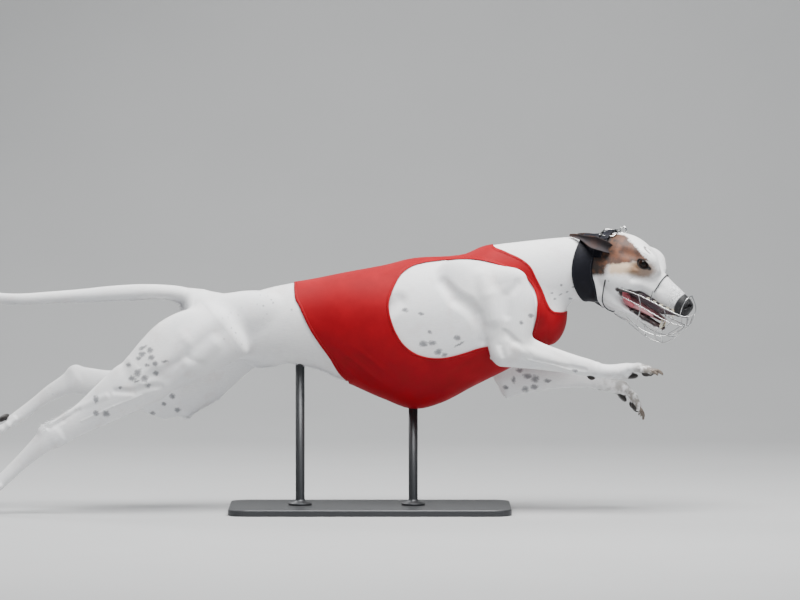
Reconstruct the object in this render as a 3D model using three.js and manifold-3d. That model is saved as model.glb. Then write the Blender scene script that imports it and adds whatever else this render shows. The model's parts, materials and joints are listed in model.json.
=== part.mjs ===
// A racing greyhound at full gallop, life size, on a plain display stand.
// Millimetres, +Z up, +X towards the nose, so the dog's right side faces -Y.
// The origin is the middle of the underside of the stand's base.
import * as THREE from 'three';
import { mergeVertices } from 'three/addons/utils/BufferGeometryUtils.js';
import Module from 'manifold-3d';

const wasm = await Module();
wasm.setup();

// Driving dimensions.
const pieceGap = 0.3;
const clothRise = 0.4;
const strapRise = 1.8;
const clothThickness = 2;
const collarWidth = 40;
const collarThickness = 4;
const wireRadius = 1.3;
const strapWidth = 20;
const strapThickness = 2.5;
const headYawDegrees = 20;
const headPivot = new THREE.Vector3(506, -4, 0);
const eyeRadius = 11.5;
const lidThickness = 2.2;
const toothSides = 3;
const wireSides = 4;
const base = { length: 620, breadth: 300, thickness: 14, corner: 40 };
const rod = { radius: 10, flangeRadius: 26, flangeHeight: 8, frontX: 95, rearX: -154, reach: 360 };

// Small vector helpers.
const point = (x, y, z) => new THREE.Vector3(x, y, z);

// Directions of a length of flesh: along it, across it, and square to both.
function frameBetween(from, to) {
  const along = to.clone().sub(from).normalize();
  const across = new THREE.Vector3(0, 0, 1).cross(along).normalize();
  const upward = along.clone().cross(across);
  return { from, along, across, upward };
}

// The smooth curve through the stations, read at one distance along them.
function sectionAt(stations, distance) {
  const last = stations.length - 1;
  let i = 0;
  while (i < last - 1 && distance > stations[i + 1][0]) {
    i += 1;
  }
  const before = stations[Math.max(i - 1, 0)];
  const start = stations[i];
  const end = stations[i + 1];
  const after = stations[Math.min(i + 2, last)];
  const span = end[0] - start[0];
  const t = Math.min(Math.max((distance - start[0]) / span, 0), 1);
  const section = [];
  for (let column = 1; column < start.length; column += 1) {
    const slopeIn = (end[column] - before[column]) / (end[0] - before[0]);
    const slopeOut = (after[column] - start[column]) / (after[0] - start[0]);
    section.push(
      start[column] * (2 * t ** 3 - 3 * t ** 2 + 1)
      + slopeIn * span * (t ** 3 - 2 * t ** 2 + t)
      + end[column] * (3 * t ** 2 - 2 * t ** 3)
      + slopeOut * span * (t ** 3 - t ** 2),
    );
  }
  return section;
}

// A length of flesh round a straight axis. Each station holds the distance along the axis, the
// upper edge, the lower edge, half the breadth and the height of the widest line.
function length(from, to, caps, stations) {
  const frame = frameBetween(from, to);
  const first = stations[0][0];
  const last = stations[stations.length - 1][0];
  const depth = (p) => {
    const reach = p.clone().sub(from);
    const distance = reach.dot(frame.along);
    const held = Math.min(Math.max(distance, first), last);
    const [high, low, half, widest] = sectionAt(stations, held);
    const over = distance - held;
    const side = reach.dot(frame.across);
    const rise = reach.dot(frame.upward) - widest;
    const halfHeight = rise > 0 ? high - widest : widest - low;
    const cap = over > 0 ? caps[1] : caps[0];
    const shape = Math.hypot(side / half, rise / halfHeight, over / cap);
    const span = Math.hypot(side, rise, over);
    return shape < 0.001 ? -Math.min(half, halfHeight) : span - span / shape;
  };
  return { ...frame, first, last, caps, stations, depth };
}

// An oval lump of flesh, its long axis pointing along a direction.
function lump(centre, direction, long, across, deep) {
  const frame = frameBetween(centre, centre.clone().add(direction));
  const depth = (p) => {
    const reach = p.clone().sub(centre);
    const shape = Math.hypot(
      reach.dot(frame.along) / long,
      reach.dot(frame.across) / across,
      reach.dot(frame.upward) / deep,
    );
    const span = reach.length();
    return shape < 0.001 ? -Math.min(long, across, deep) : span - span / shape;
  };
  return { depth };
}

// Several forms blended into one.
function blended(forms, blend) {
  return (p) => forms.reduce((sum, form) => {
    const value = form.depth(p);
    const overlap = Math.max(blend - Math.abs(sum - value), 0) / blend;
    return Math.min(sum, value) - overlap * overlap * blend / 4;
  }, 1e6);
}

// How far out from a point inside the flesh its surface lies.
function surfaceDistance(depth, origin, direction, level) {
  const step = 4;
  const farthest = 400;
  let inside = 0;
  let outside = step;
  while (outside < farthest && depth(origin.clone().addScaledVector(direction, outside)) < level) {
    inside = outside;
    outside += step;
  }
  for (let i = 0; i < 14; i += 1) {
    const middle = (inside + outside) / 2;
    if (depth(origin.clone().addScaledVector(direction, middle)) < level) {
      inside = middle;
    } else {
      outside = middle;
    }
  }
  return outside;
}

// A closed skin over rings of points, with a point at the middle of each end.
function skinOver(rings) {
  const sides = rings[0].length;
  const positions = [];
  const triangles = [];
  rings.flat().forEach((p) => positions.push(p.x, p.y, p.z));
  const at = (ring, side) => ring * sides + side % sides;
  for (let ring = 0; ring < rings.length - 1; ring += 1) {
    for (let side = 0; side < sides; side += 1) {
      triangles.push(at(ring, side), at(ring, side + 1), at(ring + 1, side));
      triangles.push(at(ring, side + 1), at(ring + 1, side + 1), at(ring + 1, side));
    }
  }
  const endPoint = (ring) => {
    const centre = ring.reduce((sum, p) => sum.add(p), point(0, 0, 0)).divideScalar(sides);
    positions.push(centre.x, centre.y, centre.z);
    return positions.length / 3 - 1;
  };
  const start = endPoint(rings[0]);
  const end = endPoint(rings[rings.length - 1]);
  for (let side = 0; side < sides; side += 1) {
    triangles.push(start, at(0, side + 1), at(0, side));
    triangles.push(end, at(rings.length - 1, side), at(rings.length - 1, side + 1));
  }
  const geometry = new THREE.BufferGeometry();
  geometry.setAttribute('position', new THREE.Float32BufferAttribute(positions, 3));
  geometry.setIndex(triangles);
  return geometry;
}

// The solid of a three.js geometry.
function solidOf(geometry) {
  const bare = geometry.clone();
  bare.deleteAttribute('normal');
  bare.deleteAttribute('uv');
  const merged = mergeVertices(bare, 0.001);
  const mesh = new wasm.Mesh({
    numProp: 3,
    vertProperties: new Float32Array(merged.attributes.position.array),
    triVerts: new Uint32Array(merged.index.array),
  });
  return new wasm.Manifold(mesh);
}

function largestPiece(solid) {
  return solid.decompose().reduce((best, piece) => (piece.volume() > best.volume() ? piece : best));
}

// Rings of surface points, one for each stop of a spine. A stop has a point inside the flesh
// and the two directions of its ring's plane.
function ringsOn(depth, stops, sides, level) {
  return stops.map(({ centre, across, upward }) => {
    const ring = [];
    for (let side = 0; side < sides; side += 1) {
      const angle = 2 * Math.PI * side / sides;
      const direction = across.clone().multiplyScalar(Math.cos(angle));
      direction.addScaledVector(upward, Math.sin(angle));
      const reach = surfaceDistance(depth, centre, direction, level);
      ring.push(centre.clone().addScaledVector(direction, reach));
    }
    return ring;
  });
}

// Stops along a straight length, closer together in its rounded ends.
function stopsAlong(form, count) {
  const endSteps = [0.92, 0.55];
  const distances = endSteps.map((share) => form.first - share * form.caps[0]);
  for (let i = 0; i <= count; i += 1) {
    distances.push(form.first + (form.last - form.first) * i / count);
  }
  endSteps.reverse().forEach((share) => distances.push(form.last + share * form.caps[1]));
  return distances.map((distance) => {
    const widest = sectionAt(form.stations, Math.min(Math.max(distance, form.first), form.last))[3];
    const centre = form.from.clone().addScaledVector(form.along, distance);
    centre.addScaledVector(form.upward, widest);
    return { centre, across: form.across, upward: form.upward };
  });
}

// One length of a limb, with the lumps that grow on it, as a solid.
function fleshSolid(form, lumps, blend, stops, sides, level = 0) {
  const depth = blended([form, ...lumps], blend);
  return solidOf(skinOver(ringsOn(depth, stopsAlong(form, stops), sides, level)));
}

// A bent, tapering form: an oval ring round each point of a path.
function taper(points, radii, sides) {
  const path = new THREE.CatmullRomCurve3(points);
  const rings = points.map((centre, i) => {
    const along = path.getTangent(i / (points.length - 1));
    const across = new THREE.Vector3(0, 0, 1).cross(along).normalize();
    const upward = along.clone().cross(across);
    const ring = [];
    for (let side = 0; side < sides; side += 1) {
      const angle = 2 * Math.PI * side / sides;
      const spot = centre.clone().addScaledVector(across, radii[i][0] * Math.cos(angle));
      ring.push(spot.addScaledVector(upward, radii[i][1] * Math.sin(angle)));
    }
    return ring;
  });
  return skinOver(rings);
}

// Trunk and neck, measured along X: the top line, the under line, half the breadth and the
// height at which each section is widest.
const trunk = length(point(0, 0, 0), point(1, 0, 0), [25, 42], [
  [-385, 486, 415, 44, 450],
  [-350, 485, 372, 58, 440],
  [-290, 478, 338, 56, 425],
  [-200, 498, 331, 54, 425],
  [-110, 514, 314, 62, 425],
  [-40, 528, 281, 77, 425],
  [30, 541, 250, 88, 425],
  [95, 556, 228, 92, 428],
  [160, 560, 243, 91, 435],
  [224, 562, 276, 84, 440],
  [275, 560, 302, 76, 440],
  [340, 545, 335, 64, 440],
  [390, 505, 368, 50, 435],
]);
const neck = length(point(0, 0, 0), point(1, 0, 0), [15, 15], [
  [205, 556, 440, 40, 510],
  [240, 579, 440, 50, 515],
  [270, 587, 435, 58, 515],
  [343, 596, 425, 58, 515],
  [400, 602, 437, 52, 522],
  [442, 605, 462, 46, 533],
  [480, 607, 468, 45, 540],
  [515, 606, 462, 45, 545],
]);
const bothSides = (make) => [make(-1), make(1)];
const bladeDirection = point(135, 0, -110);
const trunkMuscles = [
  ...bothSides((side) => lump(point(238, 54 * side, 486), bladeDirection, 98, 30, 54)),
  ...bothSides((side) => lump(point(335, 48 * side, 450), bladeDirection, 44, 32, 40)),
  ...bothSides((side) => lump(point(-290, 36 * side, 440), point(-1, 0, -0.2), 92, 28, 42)),
  lump(point(-228, 0, 333), point(1, 0, 0.1), 42, 11, 13),
];
const trunkBlend = 22;
const bodyDepth = blended([trunk, neck, ...trunkMuscles], trunkBlend);

// Where the rings of the body stand: the place along the back, the height, and how far the
// ring's plane leans back at its top.
const bodySpine = [
  [-408, 451, 0], [-400, 451, 0], [-380, 448, 0], [-345, 436, 0],
  [-305, 427, 0], [-250, 424, 0], [-195, 422, 0], [-140, 421, 0], [-85, 420, 0], [-35, 421, 0],
  [15, 422, 0], [55, 425, 0], [90, 428, 0], [125, 433, 0], [160, 440, 0],
  [192, 450, 1], [222, 460, 4], [250, 469, 8], [276, 478, 13],
  [300, 486, 18], [323, 493, 24], [344, 500, 31], [363, 506, 36], [380, 512, 38],
  [397, 517, 37], [415, 523, 32], [434, 529, 25], [455, 534, 17], [478, 539, 10],
  [505, 543, 5],
];
const bodySides = 18;
const bodyStops = bodySpine.map(([x, z, lean]) => {
  const angle = THREE.MathUtils.degToRad(lean);
  return {
    centre: point(x, 0, z),
    across: point(0, 1, 0),
    upward: point(-Math.sin(angle), 0, Math.cos(angle)),
  };
});
const bodySolid = (level) => solidOf(skinOver(ringsOn(bodyDepth, bodyStops, bodySides, level)));

// Each hind leg: the thigh, the shank, the hock with the metatarsus, and the paw.
const hindLegs = {
  right: {
    thigh: length(point(-330, -56, 415), point(-470, -72, 300), [30, 35], [
      [0, 52, -90, 38, -12],
      [50, 77, -79, 43, 0],
      [100, 87, -67, 43, 5],
      [150, 83, -53, 39, 10],
      [195, 74, -38, 33, 14],
    ]),
    shank: length(point(-470, -72, 285), point(-695, -76, 180), [30, 20], [
      [0, 60, -34, 31, 8],
      [50, 72, -36, 33, 12],
      [90, 62, -36, 30, 10],
      [130, 48, -35, 25, 5],
      [170, 34, -34, 20, 0],
      [210, 24, -34, 17, -4],
      [245, 17, -36, 15, -8],
    ]),
    metatarsus: length(point(-700, -76, 172), point(-822, -76, 58), [12, 14], [
      [-15, 21, -33, 16, -5],
      [13, 23, -27, 17, -2],
      [45, 20, -20, 15, 0],
      [85, 17, -16, 13, 0],
      [130, 15, -15, 16, 0],
      [160, 13, -14, 20, 0],
    ]),
    hockPoint: lump(point(-716, -76, 182), point(-0.9, 0, 0.3), 15, 9, 12),
    paw: { knuckles: point(-822, -76, 58), tip: point(-884, -78, 27), sole: point(-0.35, 0, 0.75) },
  },
  left: {
    thigh: length(point(-300, 56, 410), point(-420, 74, 240), [30, 28], [
      [0, 75, -93, 38, -10],
      [50, 86, -91, 43, -5],
      [90, 84, -81, 43, 0],
      [130, 74, -73, 39, 0],
      [165, 62, -62, 35, 0],
      [195, 53, -47, 31, 2],
      [215, 46, -40, 29, 3],
    ]),
    shank: length(point(-450, 74, 240), point(-665, 76, 287), [32, 20], [
      [0, 52, -42, 32, 4],
      [40, 60, -37, 33, 8],
      [90, 52, -33, 29, 8],
      [140, 38, -31, 23, 3],
      [185, 34, -29, 18, 0],
      [210, 32, -30, 16, 0],
    ]),
    metatarsus: length(point(-672, 76, 285), point(-798, 76, 198), [12, 14], [
      [-20, 17, -31, 16, -7],
      [13, 15, -28, 17, -6],
      [45, 15, -21, 15, -3],
      [85, 11, -17, 13, -3],
      [125, 9, -20, 16, -5],
      [150, 8, -19, 20, -5],
    ]),
    hockPoint: lump(point(-655, 76, 308), point(0.5, 0, 0.8), 15, 9, 12),
    paw: { knuckles: point(-798, 76, 195), tip: point(-852, 78, 162), sole: point(-0.4, 0, 0.75) },
  },
};

// Each foreleg: the upper arm with its muscle, the forearm, and the paw with the metacarpus.
const foreLegs = {
  right: {
    upperArm: length(point(270, -64, 500), point(305, -74, 352), [40, 22], [
      [0, 78, -82, 22, -4],
      [45, 84, -67, 27, 0],
      [85, 75, -68, 29, 0],
      [120, 61, -48, 28, 5],
      [150, 47, -40, 26, 3],
    ]),
    forearm: length(point(292, -76, 352), point(494, -74, 317), [25, 10], [
      [0, 58, -29, 25, 5],
      [40, 50, -25, 24, 5],
      [80, 38, -22, 21, 5],
      [115, 31, -20, 17, 4],
      [150, 25, -19, 15, 3],
      [190, 20, -18, 15, 1],
      [205, 17, -17, 15, 0],
    ]),
    metacarpus: length(point(500, -74, 315), point(562, -74, 313), [10, 14], [
      [0, 16, -17, 15, 0],
      [25, 14, -17, 16, -1],
      [50, 17, -18, 21, 0],
      [62, 19, -18, 24, 0],
    ]),
    carpalPad: lump(point(482, -74, 299), point(0.8, 0, -0.3), 13, 8, 9),
    paw: { knuckles: point(564, -74, 316), tip: point(622, -78, 316), sole: point(0.1, 0, -1) },
  },
  left: {
    upperArm: length(point(272, 64, 480), point(302, 74, 290), [40, 24], [
      [0, 78, -80, 22, -4],
      [50, 84, -66, 27, 0],
      [100, 72, -56, 29, 0],
      [145, 58, -38, 28, 5],
      [185, 46, -30, 26, 5],
    ]),
    forearm: length(point(305, 76, 281), point(500, 74, 284), [22, 10], [
      [0, 50, -36, 25, 5],
      [40, 48, -26, 24, 8],
      [80, 38, -20, 21, 7],
      [115, 30, -17, 17, 5],
      [150, 24, -15, 15, 3],
      [185, 16, -15, 15, 0],
      [198, 13, -15, 15, 0],
    ]),
    metacarpus: length(point(502, 74, 281), point(560, 74, 266), [10, 14], [
      [0, 15, -15, 15, 0],
      [25, 16, -14, 16, 0],
      [50, 18, -16, 21, 0],
      [60, 18, -18, 24, 0],
    ]),
    carpalPad: lump(point(506, 74, 268), point(0.8, 0, -0.3), 13, 8, 9),
    paw: { knuckles: point(562, 74, 264), tip: point(600, 76, 219), sole: point(-0.7, 0, -0.6) },
  },
};

const tail = length(point(0, 0, 0), point(-1, 0, 0), [20, 8], [
  [372, 488, 442, 23, 466],
  [395, 492, 450, 21, 471],
  [420, 497, 462, 17, 480],
  [462, 500.5, 469, 15.5, 485],
  [510, 501, 467, 15, 484],
  [568, 497.5, 465, 14.5, 481],
  [640, 490, 462, 13, 476],
  [708, 484.5, 459, 11.5, 472],
  [768, 480.5, 457, 10.5, 469],
  [814, 482, 460, 9.5, 471],
  [870, 489, 473, 7, 481],
  [926, 499, 492, 3, 495.5],
]);

const group = new THREE.Group();
const looks = {
  coat: { color: 0xe9e8e6, roughness: 0.75, metalness: 0 },
  patch: { color: 0x3a2a24, roughness: 0.8, metalness: 0 },
  nose: { color: 0x17171a, roughness: 0.45, metalness: 0 },
  tongue: { color: 0xc4727c, roughness: 0.4, metalness: 0 },
  eye: { color: 0x22140e, roughness: 0.1, metalness: 0 },
  cloth: { color: 0xc91219, roughness: 0.6, metalness: 0 },
  leather: { color: 0x15171c, roughness: 0.5, metalness: 0 },
  wire: { color: 0xb9bcbf, roughness: 0.3, metalness: 1 },
  cord: { color: 0x101114, roughness: 0.6, metalness: 0 },
  stand: { color: 0x2b2d30, roughness: 0.45, metalness: 0.9 },
};

function addNode(name, solid, look) {
  const mesh = largestPiece(solid).getMesh();
  const geometry = new THREE.BufferGeometry();
  geometry.setAttribute('position', new THREE.Float32BufferAttribute(mesh.vertProperties, 3));
  geometry.setIndex(Array.from(mesh.triVerts));
  const node = new THREE.Mesh(geometry, new THREE.MeshStandardMaterial(looks[look]));
  node.name = name;
  group.add(node);
}

// A solid without the room that its neighbours take.
const clearOf = (solid, ...neighbours) => neighbours.reduce((rest, other) => rest.subtract(other), solid);
const joined = (solids) => solids.reduce((sum, solid) => sum.add(solid));

// The side outline of an opening, pushed through the dog from one Y to another.
function throughCut(outline, fromY, toY) {
  const shape = new THREE.Shape();
  shape.moveTo(outline[0][0], outline[0][1]);
  shape.splineThru(outline.slice(1).concat([outline[0]]).map(([x, z]) => new THREE.Vector2(x, z)));
  const geometry = new THREE.ExtrudeGeometry(shape, {
    depth: toY - fromY, bevelEnabled: false, curveSegments: 1,
  });
  geometry.rotateX(Math.PI / 2);
  geometry.translate(0, toY, 0);
  return solidOf(geometry);
}

// A side outline with straight edges, pushed through in the same way.
function blockCut(outline, fromY, toY) {
  const shape = new THREE.Shape(outline.map(([x, z]) => new THREE.Vector2(x, z)));
  const geometry = new THREE.ExtrudeGeometry(shape, { depth: toY - fromY, bevelEnabled: false });
  geometry.rotateX(Math.PI / 2);
  geometry.translate(0, toY, 0);
  return solidOf(geometry);
}

// The racing jacket: a thin shell over the trunk, open at the neck, at the loin and round each
// shoulder. All outlines are as seen from the side.
const farAside = 260;
const neckOpening = [
  [262, 640], [268, 590], [295, 575], [330, 559], [352, 541], [365, 515], [378, 489],
  [389, 461], [399, 446], [414, 441], [450, 441], [640, 441], [640, 640],
];
const loinOpening = [
  [-480, 640], [-480, 200], [-43, 200], [-46, 282], [-53, 290], [-70, 309], [-88, 340],
  [-110, 371], [-132, 406], [-154, 454], [-166, 491], [-166, 640],
];
const armhole = [
  [42, 466], [48, 422], [66, 383], [88, 360], [114, 347], [145, 342], [176, 345], [210, 354],
  [242, 364], [290, 372], [330, 378], [353, 392], [362, 418], [366, 446], [365, 477],
  [354, 502], [334, 521], [305, 535], [271, 549], [238, 557], [198, 559], [154, 555],
  [112, 549], [84, 538], [62, 516],
];
const spineStrap = 20;
const armholeCuts = [
  throughCut(armhole, -farAside, -spineStrap),
  throughCut(armhole, spineStrap, farAside),
];
function jacketSolid(inner, outer) {
  return clearOf(
    bodySolid(outer),
    bodySolid(inner),
    blockCut(neckOpening, -farAside, farAside),
    blockCut(loinOpening, -farAside, farAside),
    ...armholeCuts,
  );
}
const jacket = jacketSolid(clothRise, clothRise + clothThickness);
const roomForJacket = jacketSolid(clothRise - pieceGap, clothRise + clothThickness + pieceGap);

// The head is shaped facing straight ahead, then turned towards the dog's right.
const headTurn = new THREE.Matrix4()
  .makeTranslation(headPivot)
  .multiply(new THREE.Matrix4().makeRotationZ(-THREE.MathUtils.degToRad(headYawDegrees)));
const turned = (geometry) => solidOf(geometry.clone().applyMatrix4(headTurn));

const muzzleForm = length(point(80, 0, 535), point(205, 0, 452), [40, 10], [
  [-30, 52, -50, 44, -5],
  [0, 51, -46, 43, -5],
  [30, 43, -38, 36, -8],
  [60, 32, -32, 29, -8],
  [85, 26, -32, 24, -8],
  [110, 23, -31, 21, -6],
  [135, 18, -27, 18, -4],
  [148, 14, -23, 15, -3],
]);
const mirroredLumps = (at, direction, long, across, deep) => [-1, 1].map((side) => lump(
  point(at[0], at[1] * side, at[2]), point(direction[0], direction[1] * side, direction[2]),
  long, across, deep,
));
const headLumps = [
  lump(point(56, 0, 563), point(0.95, 0, -0.3), 72, 46, 50),
  lump(point(10, 0, 555), point(1, 0, 0), 50, 44, 52),
  lump(point(22, 0, 495), point(0.8, 0, -0.4), 52, 40, 42),
  ...mirroredLumps([118, 27, 563], [0.8, 0, -0.6], 24, 16, 15),
  ...mirroredLumps([124, 26, 541], [0.7, -0.2, -0.6], 24, 13, 18),
  ...mirroredLumps([55, 34, 520], [0.85, -0.1, -0.5], 50, 21, 34),
];
const headBlend = 14;
const noseStart = 128;
const headDepth = blended([muzzleForm, ...headLumps], headBlend);
const headSpine = [
  [-34, 545, 2], [-20, 542, 4], [0, 539, 6], [20, 536, 10], [40, 532, 16], [58, 528, 22],
  [72, 524, 27], [85, 519, 31], [97, 513, 33], [109, 507, 34], [122, 498, 34], [136, 489, 34],
  [151, 480, 34], [166, 470, 34], [180, 461, 34], [193, 453, 34],
  [202, 448, 34], [207, 445, 34], [210.5, 443, 34],
];
const headSides = 18;
const headStops = headSpine.map(([x, z, dip]) => {
  const angle = THREE.MathUtils.degToRad(dip);
  return {
    centre: point(x, 0, z),
    across: point(0, 1, 0),
    upward: point(Math.sin(angle), 0, Math.cos(angle)),
  };
});
const headSkin = (level) => turned(skinOver(ringsOn(headDepth, headStops, headSides, level)));
const jawForm = length(point(10, 0, 478), point(140, 0, 410), [15, 8], [
  [30, 22, -16, 36, 0],
  [48, 16, -13, 34, 0],
  [66, 6.5, -10, 31, -1],
  [90, 5, -10, 25, -2],
  [117, 4, -10.5, 19, -3],
  [146, 2, -10, 14, -3],
]);
const flesh = (form, stops, sides, level = 0) => skinOver(
  ringsOn(blended([form], 1), stopsAlong(form, stops), sides, level),
);
const tongueForm = length(point(40, 0, 474), point(150, 0, 423), [10, 9], [
  [0, 13, -8, 21, 0],
  [30, 16, -8, 20, 0],
  [62, 16, -7, 18, 0],
  [90, 12, -6, 15, 0],
  [115, 6, -4, 12, 0],
]);
// The room in front of a plane square to the muzzle.
const nosePlane = (distance, depth) => {
  const block = new THREE.BoxGeometry(depth, 120, 120);
  block.translate(distance + depth / 2, 0, 0);
  block.rotateY(Math.atan2(83, 125));
  block.translate(80, 0, 535);
  return turned(block);
};
// A wire bent through a few points.
function wire(points, radius = wireRadius, stepsEach = 1, sides = wireSides) {
  const path = new THREE.CatmullRomCurve3(points);
  const section = new THREE.Shape();
  for (let side = 0; side < sides; side += 1) {
    const angle = 2 * Math.PI * side / sides;
    const corner = [radius * Math.cos(angle), radius * Math.sin(angle)];
    section[side ? 'lineTo' : 'moveTo'](...corner);
  }
  const geometry = new THREE.ExtrudeGeometry(section, {
    steps: stepsEach * (points.length - 1), extrudePath: path,
  });
  return { path, solid: turned(geometry) };
}
// A closed wire, made of two halves whose ends lie inside one another.
function closedWire(points, radius) {
  const half = Math.ceil(points.length / 2);
  const first = wire(points.slice(0, half + 1), radius, 1);
  const overlap = 0.2;
  const start = points[half].clone().lerp(points[half - 1], overlap);
  const end = points[0].clone().lerp(points[1], overlap);
  const second = wire([start, ...points.slice(half), end], radius, 1);
  return first.solid.add(second.solid);
}

const upperTeeth = [];
const lowerTeeth = [];
const upperTeethRoom = [];
function tooth(at, tip, radius) {
  const root = point(...at);
  const end = point(...tip);
  const cone = new THREE.ConeGeometry(radius, root.distanceTo(end), toothSides);
  cone.translate(0, root.distanceTo(end) / 2, 0);
  const quaternion = new THREE.Quaternion()
    .setFromUnitVectors(point(0, 1, 0), end.clone().sub(root).normalize());
  cone.applyQuaternion(quaternion);
  cone.translate(root.x, root.y, root.z);
  return turned(cone);
}
const cheekTeeth = 3;
const cheekToothStep = 15;
for (const side of [-1, 1]) {
  upperTeeth.push(tooth([169, 12 * side, 454], [171, 13 * side, 430], 4.2));
  upperTeethRoom.push(tooth([169, 12 * side, 455], [171, 13 * side, 429], 4.2 + 2 * pieceGap));
  lowerTeeth.push(tooth([138, 9 * side, 405], [146, 10 * side, 430], 4.2));
  for (let i = 0; i < cheekTeeth; i += 1) {
    const back = cheekToothStep * i;
    const out = 15 + 3.4 * i;
    const upperRoot = [154 - back, out * side, 466 + 9 * i];
    const upperTip = [153 - back, out * side, 446 + 8.6 * i];
    upperTeeth.push(tooth(upperRoot, upperTip, 5));
    const lowerRoot = [120 - back, (out - 3) * side, 417 + 8 * i];
    const lowerTip = [121 - back, (out - 3) * side, 430 + 8 * i];
    lowerTeeth.push(tooth(lowerRoot, lowerTip, 4.4));
  }
}
// The lips: a soft roll along the edge of the mouth on each side.
const upperLipLine = [[62, 490], [84, 486], [104, 480], [126, 464], [148, 450], [163, 443]];
const lowerLipLine = [[76, 455], [90, 445], [108, 432], [128, 420], [141, 412]];
const lipSides = 4;
function lipRoll(line, depth, lift, inset, radius, side) {
  return wire(line.map(([a, c]) => {
    const face = surfaceDistance(depth, point(a, 0, c + lift), point(0, 1, 0), 0);
    return point(a, side * (face - inset), c + Math.sign(lift) * 2);
  }), radius, 1, lipSides).solid;
}
const upperLipRolls = (radius) => [-1, 1].map((side) => lipRoll(upperLipLine, headDepth, 6, 6, radius, side));
const upperLips = upperLipRolls(3.6);
const upperLipRoom = upperLipRolls(3.6 + 2 * pieceGap);
const jawDepth = blended([jawForm], 1);
const lowerLips = [-1, 1].map((side) => lipRoll(lowerLipLine, jawDepth, -5, 3, 2.8, side));
const eyeSolids = [-1, 1].map((side) => {
  const at = point(110, 34 * side, 549.5);
  const ball = (radius) => {
    const sphere = new THREE.SphereGeometry(radius, 11, 7);
    sphere.translate(at.x, at.y, at.z);
    return turned(sphere);
  };
  const outward = point(0.3, side, 0.08).normalize();
  const ahead = (distance) => at.clone().addScaledVector(outward, distance);
  const slit = taper([ahead(0), ahead(9), ahead(24)], [[2, 2], [10, 7], [13, 9.5]], 10);
  return {
    side,
    eye: ball(eyeRadius),
    socket: ball(eyeRadius + pieceGap),
    lid: ball(eyeRadius + lidThickness),
    slit: turned(slit),
  };
});

const bodyRoom = bodySolid(pieceGap);
const torsoNeckPlane = [[262, 700], [262, 596], [425, 436], [700, 436], [700, 700]];
const neckBlock = blockCut(torsoNeckPlane, -farAside, farAside);
const neckBlockWide = blockCut(
  torsoNeckPlane.map(([x, z]) => [x - pieceGap, z - pieceGap]), -farAside, farAside,
);
const body = bodySolid(0);
const headStart = -16;
const headSpace = (start) => {
  const block = new THREE.BoxGeometry(600, 400, 700);
  block.translate(300 + start, 0, 400);
  return turned(block);
};
const headRoom = headSkin(pieceGap).intersect(headSpace(headStart - pieceGap));
let skull = headSkin(0).intersect(headSpace(headStart));
eyeSolids.forEach(({ lid }) => { skull = skull.add(lid); });
eyeSolids.forEach(({ socket, slit }) => { skull = skull.subtract(socket).subtract(slit); });
const head = joined([skull.subtract(nosePlane(noseStart, 60)), ...upperTeeth, ...upperLips]);
addNode('head', head, 'coat');
eyeSolids.forEach(({ side, eye }) => addNode(side < 0 ? 'eye_right' : 'eye_left', eye, 'eye'));
const jawBone = clearOf(turned(flesh(jawForm, 6, 11)), headRoom, ...upperLipRoom);
const jaw = joined([jawBone, ...lowerTeeth, ...lowerLips.map((lip) => clearOf(lip, headRoom))]);
addNode('jaw', jaw, 'coat');
const jawRoom = turned(flesh(jawForm, 6, 11, pieceGap));
const mouthRooms = [headRoom, jawRoom, ...upperLipRoom, ...lowerLips, ...upperTeeth, ...lowerTeeth];
addNode('tongue', clearOf(turned(flesh(tongueForm, 6, 8)), ...mouthRooms), 'tongue');
addNode('torso', clearOf(body, neckBlockWide), 'coat');
addNode('neck', clearOf(body.intersect(neckBlock), headSpace(headStart - pieceGap)), 'coat');
addNode('jacket', jacket, 'cloth');
addNode('tail', clearOf(solidOf(flesh(tail, 16, 8)), bodyRoom), 'coat');

// Four arched toes with their claws, and the large pad under the knuckles.
function toes({ knuckles, tip, sole }) {
  const reach = tip.clone().sub(knuckles);
  const forward = reach.clone().normalize();
  const across = new THREE.Vector3(0, 0, 1).cross(forward).normalize();
  const down = sole.clone().addScaledVector(forward, -sole.dot(forward)).normalize();
  const solids = [];
  for (const place of [-1.5, -0.5, 0.5, 1.5]) {
    const span = reach.length() * (Math.abs(place) < 1 ? 1 : 0.86);
    const spot = (share, drop, spread) => knuckles.clone()
      .addScaledVector(forward, share * span)
      .addScaledVector(down, drop)
      .addScaledVector(across, place * spread);
    const path = [
      spot(-0.12, 0, 11), spot(0.15, -4, 13), spot(0.5, -5, 15), spot(0.82, 0, 15.5), spot(1, 4, 15.5),
    ];
    solids.push(solidOf(taper(path, [[6, 7], [8.6, 9.7], [8.8, 9.7], [8.4, 9.2], [4.5, 5]], 5)));
    const claw = [spot(0.88, 0, 15.5), spot(1.12, 2, 15.5), spot(1.3, 8, 15.5)];
    solids.push(solidOf(taper(claw, [[3.2, 4.2], [2.6, 3.2], [0.6, 0.7]], 4)));
  }
  const pad = knuckles.clone().addScaledVector(down, 13).addScaledVector(reach, 0.12);
  const padForm = lump(pad, forward, 16, 19, 8);
  solids.push(solidOf(skinOver(ringsOn(padForm.depth, lumpStops(pad, forward, 16), 7, 0))));
  return joined(solids);
}
function lumpStops(centre, direction, long) {
  const frame = frameBetween(centre, centre.clone().add(direction));
  return [-0.94, -0.6, 0, 0.6, 0.94].map((share) => ({
    centre: centre.clone().addScaledVector(frame.along, share * long),
    across: frame.across,
    upward: frame.upward,
  }));
}

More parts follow.
